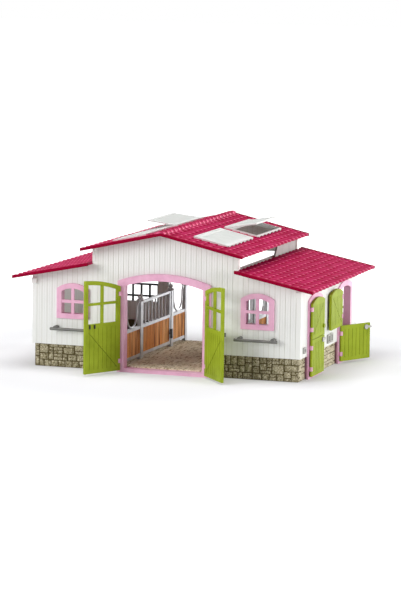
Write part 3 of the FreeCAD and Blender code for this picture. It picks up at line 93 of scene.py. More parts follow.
# Stone foot: rows and cells that blocks are made up of, and the choice of heights and widths
STONE_ROWS = 7
STONE_TALL = (1, 1, 2, 2, 2, 3)
STONE_WIDE = (2, 3, 3, 4, 5)
STONE_STOPS = (0.0, 0.12, 0.5, 0.88, 1.0)
STONE_CELL = 5 * MM
STONE_JOINT = 0.5 * MM
STONE_PROUD = 1.8 * MM
STONE_ROUGH = 1.0 * MM
STONE_SINK = 0.6
STONE_LUMP = 7 * MM
STONE_LAP = 0.3 * MM
STONE_SEED = 7
STONE_ANGLE = 50
SIDE_PALER = 2.5
CORE_TONE = 0.4
JOINT_MOST = 0.85
JOINT_LEAST = 0.15
JOINT_FADE = 0.35
WELD = 0.01 * MM
SORT_DIGITS = 4

# Sand
SAND_STEP = 3.5 * MM
SAND_ROUGH = 0.9 * MM
SAND_SWELL = 40 * MM
SAND_RIPPLE = 9 * MM
SAND_RIPPLE_SHARE = 0.6
SAND_LEVEL = 0.5
SAND_SWING = 0.35
SAND_ANGLE = 60

# Turned tops of the stall posts: radius and height, in millimetres
FINIAL_PROFILE = (
    (7.2, -4.2), (7.6, -3.4), (7.6, -2.4), (6.6, -1.6), (5.2, 0.2), (3.2, 0.9), (3.0, 1.6), (4.6, 2.8),
    (5.4, 4.4), (5.2, 5.8), (3.6, 7.2), (2.0, 7.9), (1.8, 8.6), (0.8, 10.0),
)
FINIAL_SIDES = 16
FINIAL_CONE = 6 * MM
TIP_DEPTH = 0.1 * MM
TIP_SPACING = 10 * MM

# Sockets of the node that mixes two colours
MIX_SHARE = 0
MIX_FIRST = 6
MIX_SECOND = 7
MIX_RESULT = 2
OPENNESS_SAMPLES = 8


def srgb(red, green, blue):
    """A colour as it looks on a screen, 0 to 255, as a linear colour."""
    def linear(value):
        value /= 255
        return value / 12.92 if value <= 0.04045 else ((value + 0.055) / 1.055) ** 2.4
    return (linear(red), linear(green), linear(blue), 1.0)


ROOF = srgb(174, 32, 82)
ROOF_DEEP = srgb(152, 10, 58)
# Pale pink for the painted highlight on the tile and ridge lips.
ROOF_HIGHLIGHT = srgb(240, 118, 156)
# Dark red for the painted shade in the tile hollows and on the verge boards.
ROOF_SHADE = srgb(140, 0, 42)
WHITE = srgb(235, 236, 233)
WHITE_SHADE = srgb(228, 228, 223)
# Grey for the painted shade in the board grooves.
GROOVE_SHADE = srgb(221, 221, 214)
# Skylight frames and flaps: the white plastic toned down, painted shade for parts that face up into the top
# lamp.
SHADED_ROOF_WHITE = srgb(212, 213, 211)
SHADED_ROOF_WHITE_DEEP = srgb(204, 206, 203)
PANEL = srgb(178, 177, 173)
PANEL_SHADE = srgb(168, 167, 163)
# Grey for the clerestory panels: white plastic with the painted shade of the main roof's eaves.
SHADED_EAVES = srgb(156, 150, 147)
SHADED_EAVES_DEEP = srgb(144, 138, 135)
PINK = srgb(231, 176, 203)
PINK_DEEP = srgb(218, 158, 188)
GREEN = srgb(152, 168, 40)
GREEN_DEEP = srgb(132, 148, 26)
# Dark green for the painted shade in the plank grooves and hollows.
GREEN_GROOVE_SHADE = srgb(102, 116, 16)
# Stone: the pale colour is also the painted highlight on the high points of the relief, the dark one gives
# stains and the painted shade in the low points.
STONE_PALE_AND_HIGHLIGHT = srgb(206, 197, 170)
STONE_MID = srgb(142, 133, 103)
STONE_STAIN_AND_SHADE = srgb(92, 83, 54)
MORTAR = srgb(80, 70, 42)
SAND = srgb(236, 227, 198)
SAND_DARK = srgb(160, 138, 102)
SAND_LIGHT = srgb(240, 230, 210)
WOOD = srgb(220, 142, 72)
# Dark brown for the grain and knots, and for the painted shade in the plank grooves.
WOOD_GRAIN_AND_SHADE = srgb(110, 54, 20)
WOOD_LIGHT = srgb(238, 176, 114)
SILVER = srgb(204, 206, 208)
SILVER_DARK = srgb(184, 186, 190)
GREY = srgb(112, 112, 107)
GREY_DARK = srgb(92, 92, 89)
BLACK = srgb(26, 26, 28)
BLACK_SOFT = srgb(44, 44, 46)
FROST = srgb(216, 218, 215)
FROST_SHADE = srgb(208, 211, 208)


class Paint:
    """A material being made, with short names for the nodes that it uses."""

    def __init__(self, name, **plain):
        self.material = bpy.data.materials.new(name)
        self.material.use_nodes = True
        self.tree = self.material.node_tree
        self.surface = self.tree.nodes["Principled BSDF"]
        for socket, value in plain.items():
            self.surface.inputs[socket.replace("_", " ")].default_value = value

    def add(self, kind, **settings):
        item = self.tree.nodes.new(kind)
        for name, value in settings.items():
            setattr(item, name, value)
        return item

    def feed(self, socket, value):
        if isinstance(value, bpy.types.NodeSocket):
            self.tree.links.new(value, socket)
        else:
            socket.default_value = value

    def math(self, operation, first, second=0.0):
        item = self.add("ShaderNodeMath", operation=operation)
        self.feed(item.inputs[0], first)
        self.feed(item.inputs[1], second)
        return item.outputs[0]

    def fade(self, value, low, high):
        """0 at low, 1 at high, smooth between."""
        item = self.add("ShaderNodeMapRange", interpolation_type="SMOOTHSTEP")
        self.feed(item.inputs["Value"], value)
        item.inputs["From Min"].default_value = low
        item.inputs["From Max"].default_value = high
        return item.outputs["Result"]

    def mix(self, share, first, second):
        item = self.add("ShaderNodeMix", data_type="RGBA")
        self.feed(item.inputs[MIX_SHARE], share)
        self.feed(item.inputs[MIX_FIRST], first)
        self.feed(item.inputs[MIX_SECOND], second)
        return item.outputs[MIX_RESULT]

    def place(self, x=1.0, y=1.0, z=1.0):
        """The point on the part, stretched along each axis."""
        point = self.add("ShaderNodeTexCoord").outputs["Object"]
        item = self.add("ShaderNodeVectorMath", operation="MULTIPLY")
        self.feed(item.inputs[0], point)
        item.inputs[1].default_value = (x, y, z)
        return item.outputs[0]

    def axis(self, name):
        item = self.add("ShaderNodeSeparateXYZ")
        self.feed(item.inputs[0], self.place())
        return item.outputs[name]

    def noise(self, size, detail=3.0, rough=0.55, stretch=(1.0, 1.0, 1.0), swirl=0.0):
        """Clouds of about this size."""
        item = self.add("ShaderNodeTexNoise")
        self.feed(item.inputs["Vector"], self.place(*stretch))
        item.inputs["Scale"].default_value = 1 / size
        item.inputs["Detail"].default_value = detail
        item.inputs["Roughness"].default_value = rough
        item.inputs["Distortion"].default_value = swirl
        return item.outputs["Fac"]

    def grains(self, size):
        item = self.add("ShaderNodeTexVoronoi")
        self.feed(item.inputs["Vector"], self.place())
        item.inputs["Scale"].default_value = 1 / size
        return item.outputs

    def chance(self, value):
        """An even random number for each whole value."""
        item = self.add("ShaderNodeTexWhiteNoise", noise_dimensions="1D")
        self.feed(item.inputs["W"], value)
        return item.outputs["Value"]

    def mark(self, name):
        """A value that the mesh holds at its points."""
        return self.add("ShaderNodeAttribute", attribute_name=name).outputs["Fac"]

    # Mask for painted shade in grooves and corners.
    def openness(self, reach):
        """1 on an open face, less in a groove or corner of the same piece."""
        item = self.add("ShaderNodeAmbientOcclusion", only_local=True, samples=OPENNESS_SAMPLES)
        item.inputs["Distance"].default_value = reach
        return item.outputs["AO"]

    def colour(self, value):
        self.feed(self.surface.inputs["Base Color"], value)

    def rough(self, value, low, high):
        """Roughness from low to high as the value goes from 0 to 1."""
        item = self.add("ShaderNodeMapRange")
        self.feed(item.inputs["Value"], value)
        item.inputs["To Min"].default_value = low
        item.inputs["To Max"].default_value = high
        self.feed(self.surface.inputs["Roughness"], item.outputs["Result"])

    def relief(self, height, depth):
        """Fine relief of this depth."""
        item = self.add("ShaderNodeBump")
        item.inputs["Strength"].default_value = 1.0
        item.inputs["Distance"].default_value = depth
        self.feed(item.inputs["Height"], height)
        self.feed(self.surface.inputs["Normal"], item.outputs["Normal"])


# Materials: sizes of their clouds and grain, limits of a fade, range of roughness, depth of relief

PLASTIC_CLOUDS = 22 * MM
PLASTIC_GRAIN = 0.8 * MM
PLASTIC_SHADED = (0.35, 0.75)
PLASTIC_ROUGH = (0.38, 0.55)
PLASTIC_RELIEF = 0.06 * MM


def moulded(name, base, shade, rough=PLASTIC_ROUGH, **plain):
    """Coloured plastic with a faint cloudy tone and the fine grain of its mould."""
    paint = Paint(name, **plain)
    clouds = paint.noise(PLASTIC_CLOUDS, detail=4)
    grain = paint.noise(PLASTIC_GRAIN, detail=2)
    paint.colour(paint.mix(paint.fade(clouds, *PLASTIC_SHADED), base, shade))
    paint.rough(clouds, *rough)
    paint.relief(grain, PLASTIC_RELIEF)
    return paint.material


BOARD_HALF = 0.5
BOARD_GROOVE = (0.03, 0.08)
BOARD_GRAIN = 3 * MM
BOARD_UPRIGHT = (1.0, 1.0, 0.06)
BOARD_TONE = 0.5
BOARD_STREAK = (0.5, 0.95)
BOARD_ROUGH = (0.42, 0.62)
BOARD_RELIEF = 0.15 * MM


def boarded(name, axis, middle):
    """White boards: a painted shade line in the groove between two, each board a little off its neighbour's
    tone.
    """
    paint = Paint(name)
    boards = paint.math("DIVIDE", paint.math("SUBTRACT", paint.axis(axis), middle), BOARD)
    number = paint.math("FLOOR", boards)
    tone = paint.chance(number)
    across = paint.math("FRACT", paint.math("ADD", boards, BOARD_HALF))
    from_groove = paint.math("ABSOLUTE", paint.math("SUBTRACT", across, BOARD_HALF))
    board = paint.fade(from_groove, *BOARD_GROOVE)
    grain = paint.noise(BOARD_GRAIN, detail=5, stretch=BOARD_UPRIGHT)
    plank = paint.mix(paint.math("MULTIPLY", tone, BOARD_TONE), WHITE, WHITE_SHADE)
    streaked = paint.mix(paint.fade(grain, *BOARD_STREAK), plank, WHITE_SHADE)
    # Painted shade along each groove between boards.
    paint.colour(paint.mix(board, GROOVE_SHADE, streaked))
    paint.rough(grain, *BOARD_ROUGH)
    paint.relief(grain, BOARD_RELIEF)
    return paint.material


PAINT_GRAIN = 2.4 * MM
PAINT_CLOUDS = 40 * MM
PAINT_UPRIGHT = (1.0, 1.0, 0.05)
PAINT_WORN = (0.3, 0.8)
PAINT_GRAINED = (0.52, 0.8)
PAINT_REACH = 1.6 * MM
PAINT_OPEN = (0.55, 0.8)
PAINT_ROUGH = (0.4, 0.6)
PAINT_RELIEF = 0.2 * MM


def planked(name, base, deep, groove_shade):
    """Painted planks with upright grain, with painted shade in their hollows and in the grooves between
    planks.
    """
    paint = Paint(name, Specular_IOR_Level=0.12)
    grain = paint.noise(PAINT_GRAIN, detail=6, rough=0.6, stretch=PAINT_UPRIGHT)
    clouds = paint.noise(PAINT_CLOUDS, detail=3)
    worn = paint.mix(paint.fade(clouds, *PAINT_WORN), base, deep)
    grained = paint.mix(paint.fade(grain, *PAINT_GRAINED), worn, deep)
    # Painted shade where the piece closes in on itself: grooves, hollows and corners.
    paint.colour(paint.mix(paint.fade(paint.openness(PAINT_REACH), *PAINT_OPEN), groove_shade, grained))
    paint.rough(grain, *PAINT_ROUGH)
    paint.relief(grain, PAINT_RELIEF)
    return paint.material


WOOD_GRAIN = 2.2 * MM
WOOD_KNOTS = 13 * MM
WOOD_UPRIGHT = (1.0, 1.0, 0.05)
WOOD_KNOTS_UPRIGHT = (1.0, 1.0, 0.07)
WOOD_GRAINED = (0.5, 0.8)
WOOD_KNOTTED = (0.5, 0.68)
WOOD_REACH = 2.2 * MM
WOOD_OPEN = (0.6, 0.93)
WOOD_ROUGH = (0.42, 0.62)
WOOD_RELIEF = 0.25 * MM


def wooden(name):
    """Brown planks side by side along the aisle, each with its own tone and upright grain, with painted shade
    in their grooves and corners.
    """
    paint = Paint(name, Specular_IOR_Level=0.03)
    number = paint.math("FLOOR", paint.math("DIVIDE", paint.axis("Y"), STALL_PLANK))
    tone = paint.chance(number)
    grain = paint.noise(WOOD_GRAIN, detail=7, rough=0.65, stretch=WOOD_UPRIGHT)
    knots = paint.noise(WOOD_KNOTS, detail=4, rough=0.6, stretch=WOOD_KNOTS_UPRIGHT)
    plank = paint.mix(tone, WOOD, WOOD_LIGHT)
    grained = paint.mix(paint.fade(grain, *WOOD_GRAINED), plank, WOOD_GRAIN_AND_SHADE)
    knotted = paint.mix(paint.fade(knots, *WOOD_KNOTTED), grained, WOOD_GRAIN_AND_SHADE)
    # Painted shade in the grooves between planks and in corners.
    paint.colour(paint.mix(paint.fade(paint.openness(WOOD_REACH), *WOOD_OPEN), WOOD_GRAIN_AND_SHADE, knotted))
    paint.rough(grain, *WOOD_ROUGH)
    paint.relief(grain, WOOD_RELIEF)
    return paint.material


TILE_CLOUDS = 26 * MM
TILE_GRAIN = 1.4 * MM
TILE_DEEP = (0.3, 0.75)
TILE_REACH = 6 * MM
TILE_OPEN = (0.45, 0.9)
TILE_HIGHLIGHT_SPREAD = (0.2, 0.5)
TILE_ROUGH = (0.42, 0.58)
TILE_RELIEF = 0.12 * MM


def tiled(name):
    """Tiles of one red, with painted shade in their hollows and along the verges and a painted highlight on
    their lips.
    """
    paint = Paint(name, Specular_IOR_Level=0.03)
    clouds = paint.noise(TILE_CLOUDS, detail=4)
    grain = paint.noise(TILE_GRAIN, detail=3)
    body = paint.mix(paint.fade(clouds, *TILE_DEEP), ROOF, ROOF_DEEP)
    # Painted shade in the tile hollows and under each course, and on the verge boards.
    hollow_shaded = paint.mix(paint.fade(paint.openness(TILE_REACH), *TILE_OPEN), ROOF_SHADE, body)
    verge_shaded = paint.mix(paint.mark("verge_shade"), hollow_shaded, ROOF_SHADE)
    # Painted highlight on the lips, broken up by the grain.
    highlighted = paint.math("MULTIPLY", paint.mark("lip_highlight"), paint.fade(grain, *TILE_HIGHLIGHT_SPREAD))
    paint.colour(paint.mix(highlighted, verge_shaded, ROOF_HIGHLIGHT))
    paint.rough(grain, *TILE_ROUGH)
    paint.relief(grain, TILE_RELIEF)
    return paint.material


STONE_PITS = 9 * MM
STONE_STAINS = 16 * MM
STONE_TONE = 0.45
STONE_STAINED = (0.5, 0.85)
STONE_HIGHLIGHT = (0.52, 0.62)
STONE_PIT_SHADE = (0.47, 0.38)
STONE_ROUGHNESS = (0.6, 0.85)
STONE_RELIEF = 0.5 * MM


def stony(name):
    """Split stone: each block its own tone, with a painted highlight on the high points of its relief,
    painted shade in its low points, and dark joints.
    """
    paint = Paint(name, Specular_IOR_Level=0.1)
    pits = paint.noise(STONE_PITS, detail=5, rough=0.62, swirl=3.0)
    stains = paint.noise(STONE_STAINS, detail=4)
    block = paint.mix(paint.math("MULTIPLY", paint.mark("tone"), STONE_TONE), STONE_MID, STONE_PALE_AND_HIGHLIGHT)
    stained = paint.mix(paint.fade(stains, *STONE_STAINED), block, STONE_STAIN_AND_SHADE)
    # Painted highlight on the high points and painted shade in the low points of the relief.
    highlit = paint.mix(paint.fade(pits, *STONE_HIGHLIGHT), stained, STONE_PALE_AND_HIGHLIGHT)
    pit_shaded = paint.mix(paint.fade(pits, *STONE_PIT_SHADE), highlit, STONE_STAIN_AND_SHADE)
    paint.colour(paint.mix(paint.mark("joint"), pit_shaded, MORTAR))
    paint.rough(pits, *STONE_ROUGHNESS)
    paint.relief(pits, STONE_RELIEF)
    return paint.material


SAND_CLOUDS = 60 * MM
SAND_RAKED = 4 * MM
SAND_RAKING = (1.0, 0.22, 1.0)
SAND_GRAINS = 2.6 * MM
SAND_CLOUDED = 0.3
SAND_FURROWS = (0.5, 0.36)
SAND_CRESTS = (0.52, 0.66)
SAND_SPECKS = (0.35, 0.15)
SAND_ROUGHNESS = (0.8, 0.95)
SAND_RELIEF = 0.8 * MM


def sandy(name):
    """Loose raked sand: pale crests, dark furrows and fine grains over a cloudy brown."""
    paint = Paint(name, Specular_IOR_Level=0.03)
    clouds = paint.noise(SAND_CLOUDS, detail=3)
    raked = paint.noise(SAND_RAKED, detail=3, rough=0.7, stretch=SAND_RAKING)
    grains = paint.grains(SAND_GRAINS)
    body = paint.mix(paint.math("MULTIPLY", clouds, SAND_CLOUDED), SAND, SAND_DARK)
    dark = paint.mix(paint.fade(raked, *SAND_FURROWS), body, SAND_DARK)
    pale = paint.mix(paint.fade(raked, *SAND_CRESTS), dark, SAND_LIGHT)
    paint.colour(paint.mix(paint.fade(grains["Distance"], *SAND_SPECKS), pale, SAND))
    paint.rough(clouds, *SAND_ROUGHNESS)
    paint.relief(raked, SAND_RELIEF)
    return paint.material


FROST_CLOUDS = 18 * MM
FROST_GRAIN = 0.6 * MM
FROST_SHADED = (0.3, 0.8)
FROST_ROUGH = (0.5, 0.65)
FROST_RELIEF = 0.08 * MM


def frosted(name):
    """A milky pane that lets a little light through."""
    paint = Paint(name, Transmission_Weight=0.2, IOR=1.15, Specular_IOR_Level=0.3)
    clouds = paint.noise(FROST_CLOUDS, detail=3)
    frost = paint.noise(FROST_GRAIN, detail=2)
    paint.colour(paint.mix(paint.fade(clouds, *FROST_SHADED), FROST, FROST_SHADE))
    paint.rough(clouds, *FROST_ROUGH)
    paint.relief(frost, FROST_RELIEF)
    return paint.material


SATIN = (0.34, 0.48)
GLOSS = (0.3, 0.45)
POLISH = (0.25, 0.38)

looks = {
    "front_boards": boarded("front_boards", "X", 0.0),
    "side_boards": boarded("side_boards", "Y", SIDE_BOARD_MIDDLE),
    "white": moulded("white_plastic", WHITE, WHITE_SHADE),
    "roof_white_shaded": moulded("roof_white_shaded", SHADED_ROOF_WHITE, SHADED_ROOF_WHITE_DEEP),
    "panel": moulded("grey_panel", PANEL, PANEL_SHADE),
    "eaves_shaded": moulded("eaves_panel_shaded", SHADED_EAVES, SHADED_EAVES_DEEP),
    "pink": moulded("pink_plastic", PINK, PINK_DEEP, SATIN),
    "green": planked("green_planks", GREEN, GREEN_DEEP, GREEN_GROOVE_SHADE),
    "wood": wooden("stall_wood"),
    "roof": tiled("roof_tiles"),
    "stone": stony("split_stone"),
    "sand": sandy("sand"),
    "frost": frosted("frosted_pane"),
    "black": moulded("black_plastic", BLACK, BLACK_SOFT, GLOSS),
    "grey": moulded("grey_plastic", GREY, GREY_DARK),
    "silver": moulded("silver_paint", SILVER, SILVER_DARK, POLISH, Metallic=0.55),
}

NODE_LOOKS = {
    "front_boards": ("front_gable_panel", "front_wing_panel_left", "front_wing_panel_right",
                     "rear_wing_panels", "rear_gable_frame"),
    "side_boards": ("left_wall", "right_wall"),
    "panel": ("wall_sockets", "leaf_latch_front", "leaf_latch_rear"),
    # Clerestory panels carry painted shade from the eaves.
    "eaves_shaded": ("clerestory_panels",),
    "white": ("roof_purlins",),
    # Skylight frames take the white with painted shade.
    "roof_white_shaded": ("skylight_frames_left", "skylight_frames_right"),
    "pink": ("front_door_frame", "front_windows", "side_windows", "stable_door_frame_front",
             "stable_door_frame_rear"),
    "green": ("front_door_left", "front_door_right", "stable_leaf_lower_front", "stable_leaf_lower_rear",
              "stable_leaf_upper_front", "stable_leaf_upper_rear"),
    "wood": ("stall_wood_left", "stall_wood_right", "gate_wood_left", "gate_wood_right"),
    "black": ("door_handle_left", "door_handle_right", "gate_latch_left", "gate_latch_right", "rear_grilles"),
    "grey": ("hitching_bars",),
    "silver": ("stall_front_frame_left", "stall_front_frame_right", "stall_rear_frame_left",
               "stall_rear_frame_right", "stall_gate_left", "stall_gate_right"),
}


def dress(name, look):
    """Gives a CAD node its finish."""
    mesh = nodes[name].data
    mesh.materials.clear()
    mesh.materials.append(looks[look])


def dress_nodes():
    for look, names in NODE_LOOKS.items():
        for name in names:
            dress(name, look)
    for _, side in SIDES:
        for place in ENDS:
            dress(f"skylight_flap_{side}_{place}", "roof_white_shaded")
            dress(f"skylight_pane_{side}_{place}", "frost")


def piece(name, mesh_maker, look, replaced=(), body="house", smooth_angle=SMOOTH_ANGLE):
    """A new object from a bmesh, riding on a body and finished with a look."""
    mesh = bpy.data.meshes.new(name)
    bmesh.ops.recalc_face_normals(mesh_maker, faces=mesh_maker.faces)
    mesh_maker.to_mesh(mesh)
    mesh_maker.free()
    mesh.materials.append(looks[look])
    item = bpy.data.objects.new(name, mesh)
    bpy.context.scene.collection.objects.link(item)
    mesh.shade_smooth()
    mesh.set_sharp_from_angle(angle=math.radians(smooth_angle))
    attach(item, body)
    if replaced:
        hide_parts(*replaced)
    return item


# Tiled roofs

def tile_rows():
    """Rows of one roof from its upper edge down."""
    return [Row(course, *step) for course in range(COURSES) for step in TILE_PROFILE]


def roll(y, start, pitch):
    """The round profile of the tiles along the ridge: 1 on a roll, 0 in a hollow."""
    return (0.5 - 0.5 * math.cos(2 * math.pi * (y - start) / pitch)) ** WAVE_FULLNESS


def tile_sheet(sign, near, far, crest, slope, front, rear, holes):
    """One roof of lapped tiles as a closed shell: near and far are its upper edge and eave in plan."""
    pitch = (rear - front) / WAVES
    count = WAVES * WAVE_STEPS
    columns = {front + (rear - front) * number / count for number in range(count + 1)}
    for hole in holes:
        columns |= {hole.front, hole.rear}
    columns = sorted(columns)
    rows = tile_rows()
    course = (far - near) / COURSES
    hole_courses = tuple(round((edge - near) / course) for edge in holes[0][:2]) if holes else ()

    def reach(row, y):
        """Distance of a row from the middle of the house."""
        scallop = TILE_SCALLOP * (roll(y, front, pitch) - 1)
        if row.share not in (0.0, 1.0):
            return near + (row.course + row.share) * course + scallop * row.share
        edge = row.course + int(row.share)
        for hole in holes:
            if hole.front <= y <= hole.rear and edge in hole_courses:
                return hole[hole_courses.index(edge)]
        return near + edge * course + scallop if edge else near

    def in_hole(row, column):
        middle = (columns[column] + columns[column + 1]) / 2
        upper, lower = rows[row], rows[row + 1]
        for hole in holes:
            first, last = hole_courses
            inside = first <= upper.course < last and lower.course < last
            if hole.front < middle < hole.rear and inside:
                return True
        return False

    maker = bmesh.new()
    lip_highlight = maker.verts.layers.float.new("lip_highlight")
    verge_shade = maker.verts.layers.float.new("verge_shade")
    top = []
    under = []
    for row in rows:
        top_row = []
        under_row = []
        for y in columns:
            x = reach(row, y)
            wave = roll(y, front, pitch)
            plane = crest - (x if near == 0 else x - near) * slope
            height = plane - WAVE_HEIGHT * (1 - wave) + TILE_LIFT * (row.lift - 1)
            vertex = maker.verts.new((sign * x, y, height))
            # Painted highlight near the crest of each roll at the lip of a course.
            vertex[lip_highlight] = row.pale * max(0.0, (wave - LIP_START) / (1 - LIP_START))
            top_row.append(vertex)
            under_row.append((x, plane - SHEET))
        top.append(top_row)
        under.append(under_row)
    low = []
    for number, row in enumerate(rows):
        if number and row.share == 0.0:
            low.append(low[-1])
            continue
        low.append([maker.verts.new((sign * x, y, z)) for (x, z), y in zip(under[number], columns)])

    kept = {}
    for row in range(len(rows) - 1):
        for column in range(len(columns) - 1):
            kept[row, column] = not in_hole(row, column)

    def wall(first, second):
        """The side between two neighbouring points of an edge, down to the under side."""
        (row, column), (next_row, next_column) = first, second
        corners = [top[row][column], top[next_row][next_column], low[next_row][next_column], low[row][column]]
        loop = list(dict.fromkeys(corners))
        if len(loop) > 2:
            maker.faces.new(loop)

    for (row, column), keep in kept.items():
        if not keep:
            continue
        maker.faces.new(
            [top[row][column], top[row][column + 1], top[row + 1][column + 1], top[row + 1][column]]
        )
        if low[row] is not low[row + 1]:
            maker.faces.new(
                [low[row][column], low[row + 1][column], low[row + 1][column + 1], low[row][column + 1]]
            )
        if not kept.get((row - 1, column), False):
            wall((row, column), (row, column + 1))
        if not kept.get((row + 1, column), False):
            wall((row + 1, column), (row + 1, column + 1))
        if not kept.get((row, column - 1), False):
            wall((row, column), (row + 1, column))
        if not kept.get((row, column + 1), False):
            wall((row, column + 1), (row + 1, column + 1))

    verge_board(maker, verge_shade, sign, near, far, crest, slope, front - VERGE_PROUD, front + VERGE_THICK)
    verge_board(maker, verge_shade, sign, near, far, crest, slope, rear - VERGE_THICK, rear + VERGE_PROUD)
    return maker


def verge_board(maker, verge_shade, sign, near, far, crest, slope, outer, inner):
    """The straight rounded edge that covers the end of a roof, with a fine step for each course."""
    sections = []
    for number in range(COURSES):
        for share, lift in ((0.0, -VERGE_STEP), (1.0, 0.0)):
            x = near + (far - near) * (number + share) / COURSES
            top = crest - (x - near) * slope + lift
            foot = crest - (x - near) * slope - VERGE_DEPTH
            turn = VERGE_ROUND
            outline = (
                (outer, foot + turn), (outer, top - turn), (outer + turn, top), (inner - turn, top),
                (inner, top - turn), (inner, foot + turn), (inner - turn, foot), (outer + turn, foot),
            )
            sections.append([maker.verts.new((sign * x, y, z)) for y, z in outline])
    for section in sections:
        for vertex in section:
            # Marks the verge board for the painted shade of the roof material.
            vertex[verge_shade] = 1.0
    for first, second in zip(sections, sections[1:]):
        for step in range(len(first)):
            follow = (step + 1) % len(first)
            loop = list(dict.fromkeys((first[step], first[follow], second[follow], second[step])))
            maker.faces.new(loop)
    maker.faces.new(sections[0])
    maker.faces.new(list(reversed(sections[-1])))


def tiled_roofs():
    for sign, side in SIDES:
        low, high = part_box(f"main_roof_{side}")
        sky_low, sky_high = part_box(f"skylight_frames_{side}")
        sky_x = sorted((abs(sky_low.x), abs(sky_high.x)))
        holes = [
            Hole(*sky_x, sky_low.y, sky_low.y + SKYLIGHT_LENGTH),
            Hole(*sky_x, sky_high.y - SKYLIGHT_LENGTH, sky_high.y),
        ]
        eave = max(abs(low.x), abs(high.x))
        sheet = tile_sheet(sign, 0.0, eave, high.z, math.tan(MAIN_PITCH), low.y, high.y, holes)
        piece(f"main_tiles_{side}", sheet, "roof", [f"main_roof_{side}"])
        low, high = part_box(f"wing_roof_{side}")
        near, eave = sorted((abs(low.x), abs(high.x)))
        sheet = tile_sheet(sign, near, eave, high.z, math.tan(WING_PITCH), low.y, high.y, [])
        piece(f"wing_tiles_{side}", sheet, "roof", [f"wing_roof_{side}"])


def ridge_tiles():
    """Half-round tiles along the ridge, each flared where it laps the one in front."""
    low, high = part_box("main_roof_left")
    crest = high.z
    front, rear = low.y, high.y
    pitch = (rear - front) / RIDGE_TILES
    slope = math.tan(MAIN_PITCH)
    maker = bmesh.new()
    lip_highlight = maker.verts.layers.float.new("lip_highlight")
    sections = []
    for number in range(RIDGE_TILES):
        start = front + number * pitch
        for share, flare, pale in RIDGE_PROFILE:
            sections.append((start + share * pitch, flare, pale))
    rings = []
    for y, flare, pale in sections:
        half = RIDGE_HALF + RIDGE_FLARE * flare
        top = crest + RIDGE_RISE + RIDGE_FLARE * flare
        edge = crest - half * slope - RIDGE_SINK
        ring = []
        for step in range(RIDGE_STEPS + 1):
            turn = math.pi * step / RIDGE_STEPS
            height = edge + (top - edge) * math.sin(turn) ** RIDGE_FULLNESS
            vertex = maker.verts.new((-half * math.cos(turn), y, height))
            # Painted highlight on the lower steps of each side, strongest at the flared end.
            vertex[lip_highlight] = pale if step in RIDGE_HIGHLIGHT_STEPS else 0.0
            ring.append(vertex)
        rings.append(ring)
    for first, second in zip(rings, rings[1:]):
        for step in range(RIDGE_STEPS):
            maker.faces.new([first[step], first[step + 1], second[step + 1], second[step]])
        maker.faces.new([first[-1], first[0], second[0], second[-1]])
    maker.faces.new(rings[0])
    maker.faces.new(list(reversed(rings[-1])))
    piece("ridge_tiles", maker, "roof", ["ridge_cap"])


# Stone foot

def stone_layout(length, height, chance):
    """Blocks of mixed size that fill a wall: start, width, foot and height of each."""
    across = max(1, round(length / STONE_CELL))
    taken = set()
    blocks = []
    for row in range(STONE_ROWS):
        for cell in range(across):
            if (row, cell) in taken:
                continue
            run = 1
            while cell + run < across and (row, cell + run) not in taken:
                run += 1
            tall = min(chance.choice(STONE_TALL), STONE_ROWS - row)
            wide = min(chance.choice(STONE_WIDE), run)
            if run - wide == 1:
                wide = run
            for up in range(tall):
                for along in range(wide):
                    taken.add((row + up, cell + along))
            step = length / across
            rise = height / STONE_ROWS
            blocks.append((cell * step, wide * step, row * rise, tall * rise))
    return blocks


def add_stone(maker, layers, origin, along, outward, block, tone):
    """One split block: a rounded face with a rough middle, standing out of the joint."""
    start, width, foot, height = block
    tone_layer, joint_layer = layers
    joint = STONE_JOINT / 2
    edges = (STONE_STOPS[0], STONE_STOPS[-1])
    grid = []
    for up in STONE_STOPS:
        line = []
        for side in STONE_STOPS:
            rim = side in edges or up in edges
            point = origin + along * (start + joint + (width - 2 * joint) * side)
            point.z = origin.z + foot + joint + (height - 2 * joint) * up
            shake = noise.noise(point / STONE_LUMP) * STONE_ROUGH
            out = -STONE_PROUD if rim else shake - STONE_ROUGH * STONE_SINK
            vertex = maker.verts.new(point + outward * out)
            vertex[tone_layer] = tone
            vertex[joint_layer] = max(JOINT_LEAST, JOINT_MOST - JOINT_FADE * tone) if rim else 0.0
            line.append(vertex)
        grid.append(line)
    for lower, upper in zip(grid, grid[1:]):
        for first in range(len(STONE_STOPS) - 1):
            maker.faces.new([lower[first], lower[first + 1], upper[first + 1], upper[first]])


def add_core(maker, layers, low, high):
    """The plain body behind the blocks."""
    tone_layer, joint_layer = layers
    made = bmesh.ops.create_cube(maker, size=1.0)["verts"]
    for vertex in made:
        vertex.co = Vector([low[axis] if vertex.co[axis] < 0 else high[axis] for axis in range(3)])
        vertex[tone_layer] = CORE_TONE
        vertex[joint_layer] = 1.0


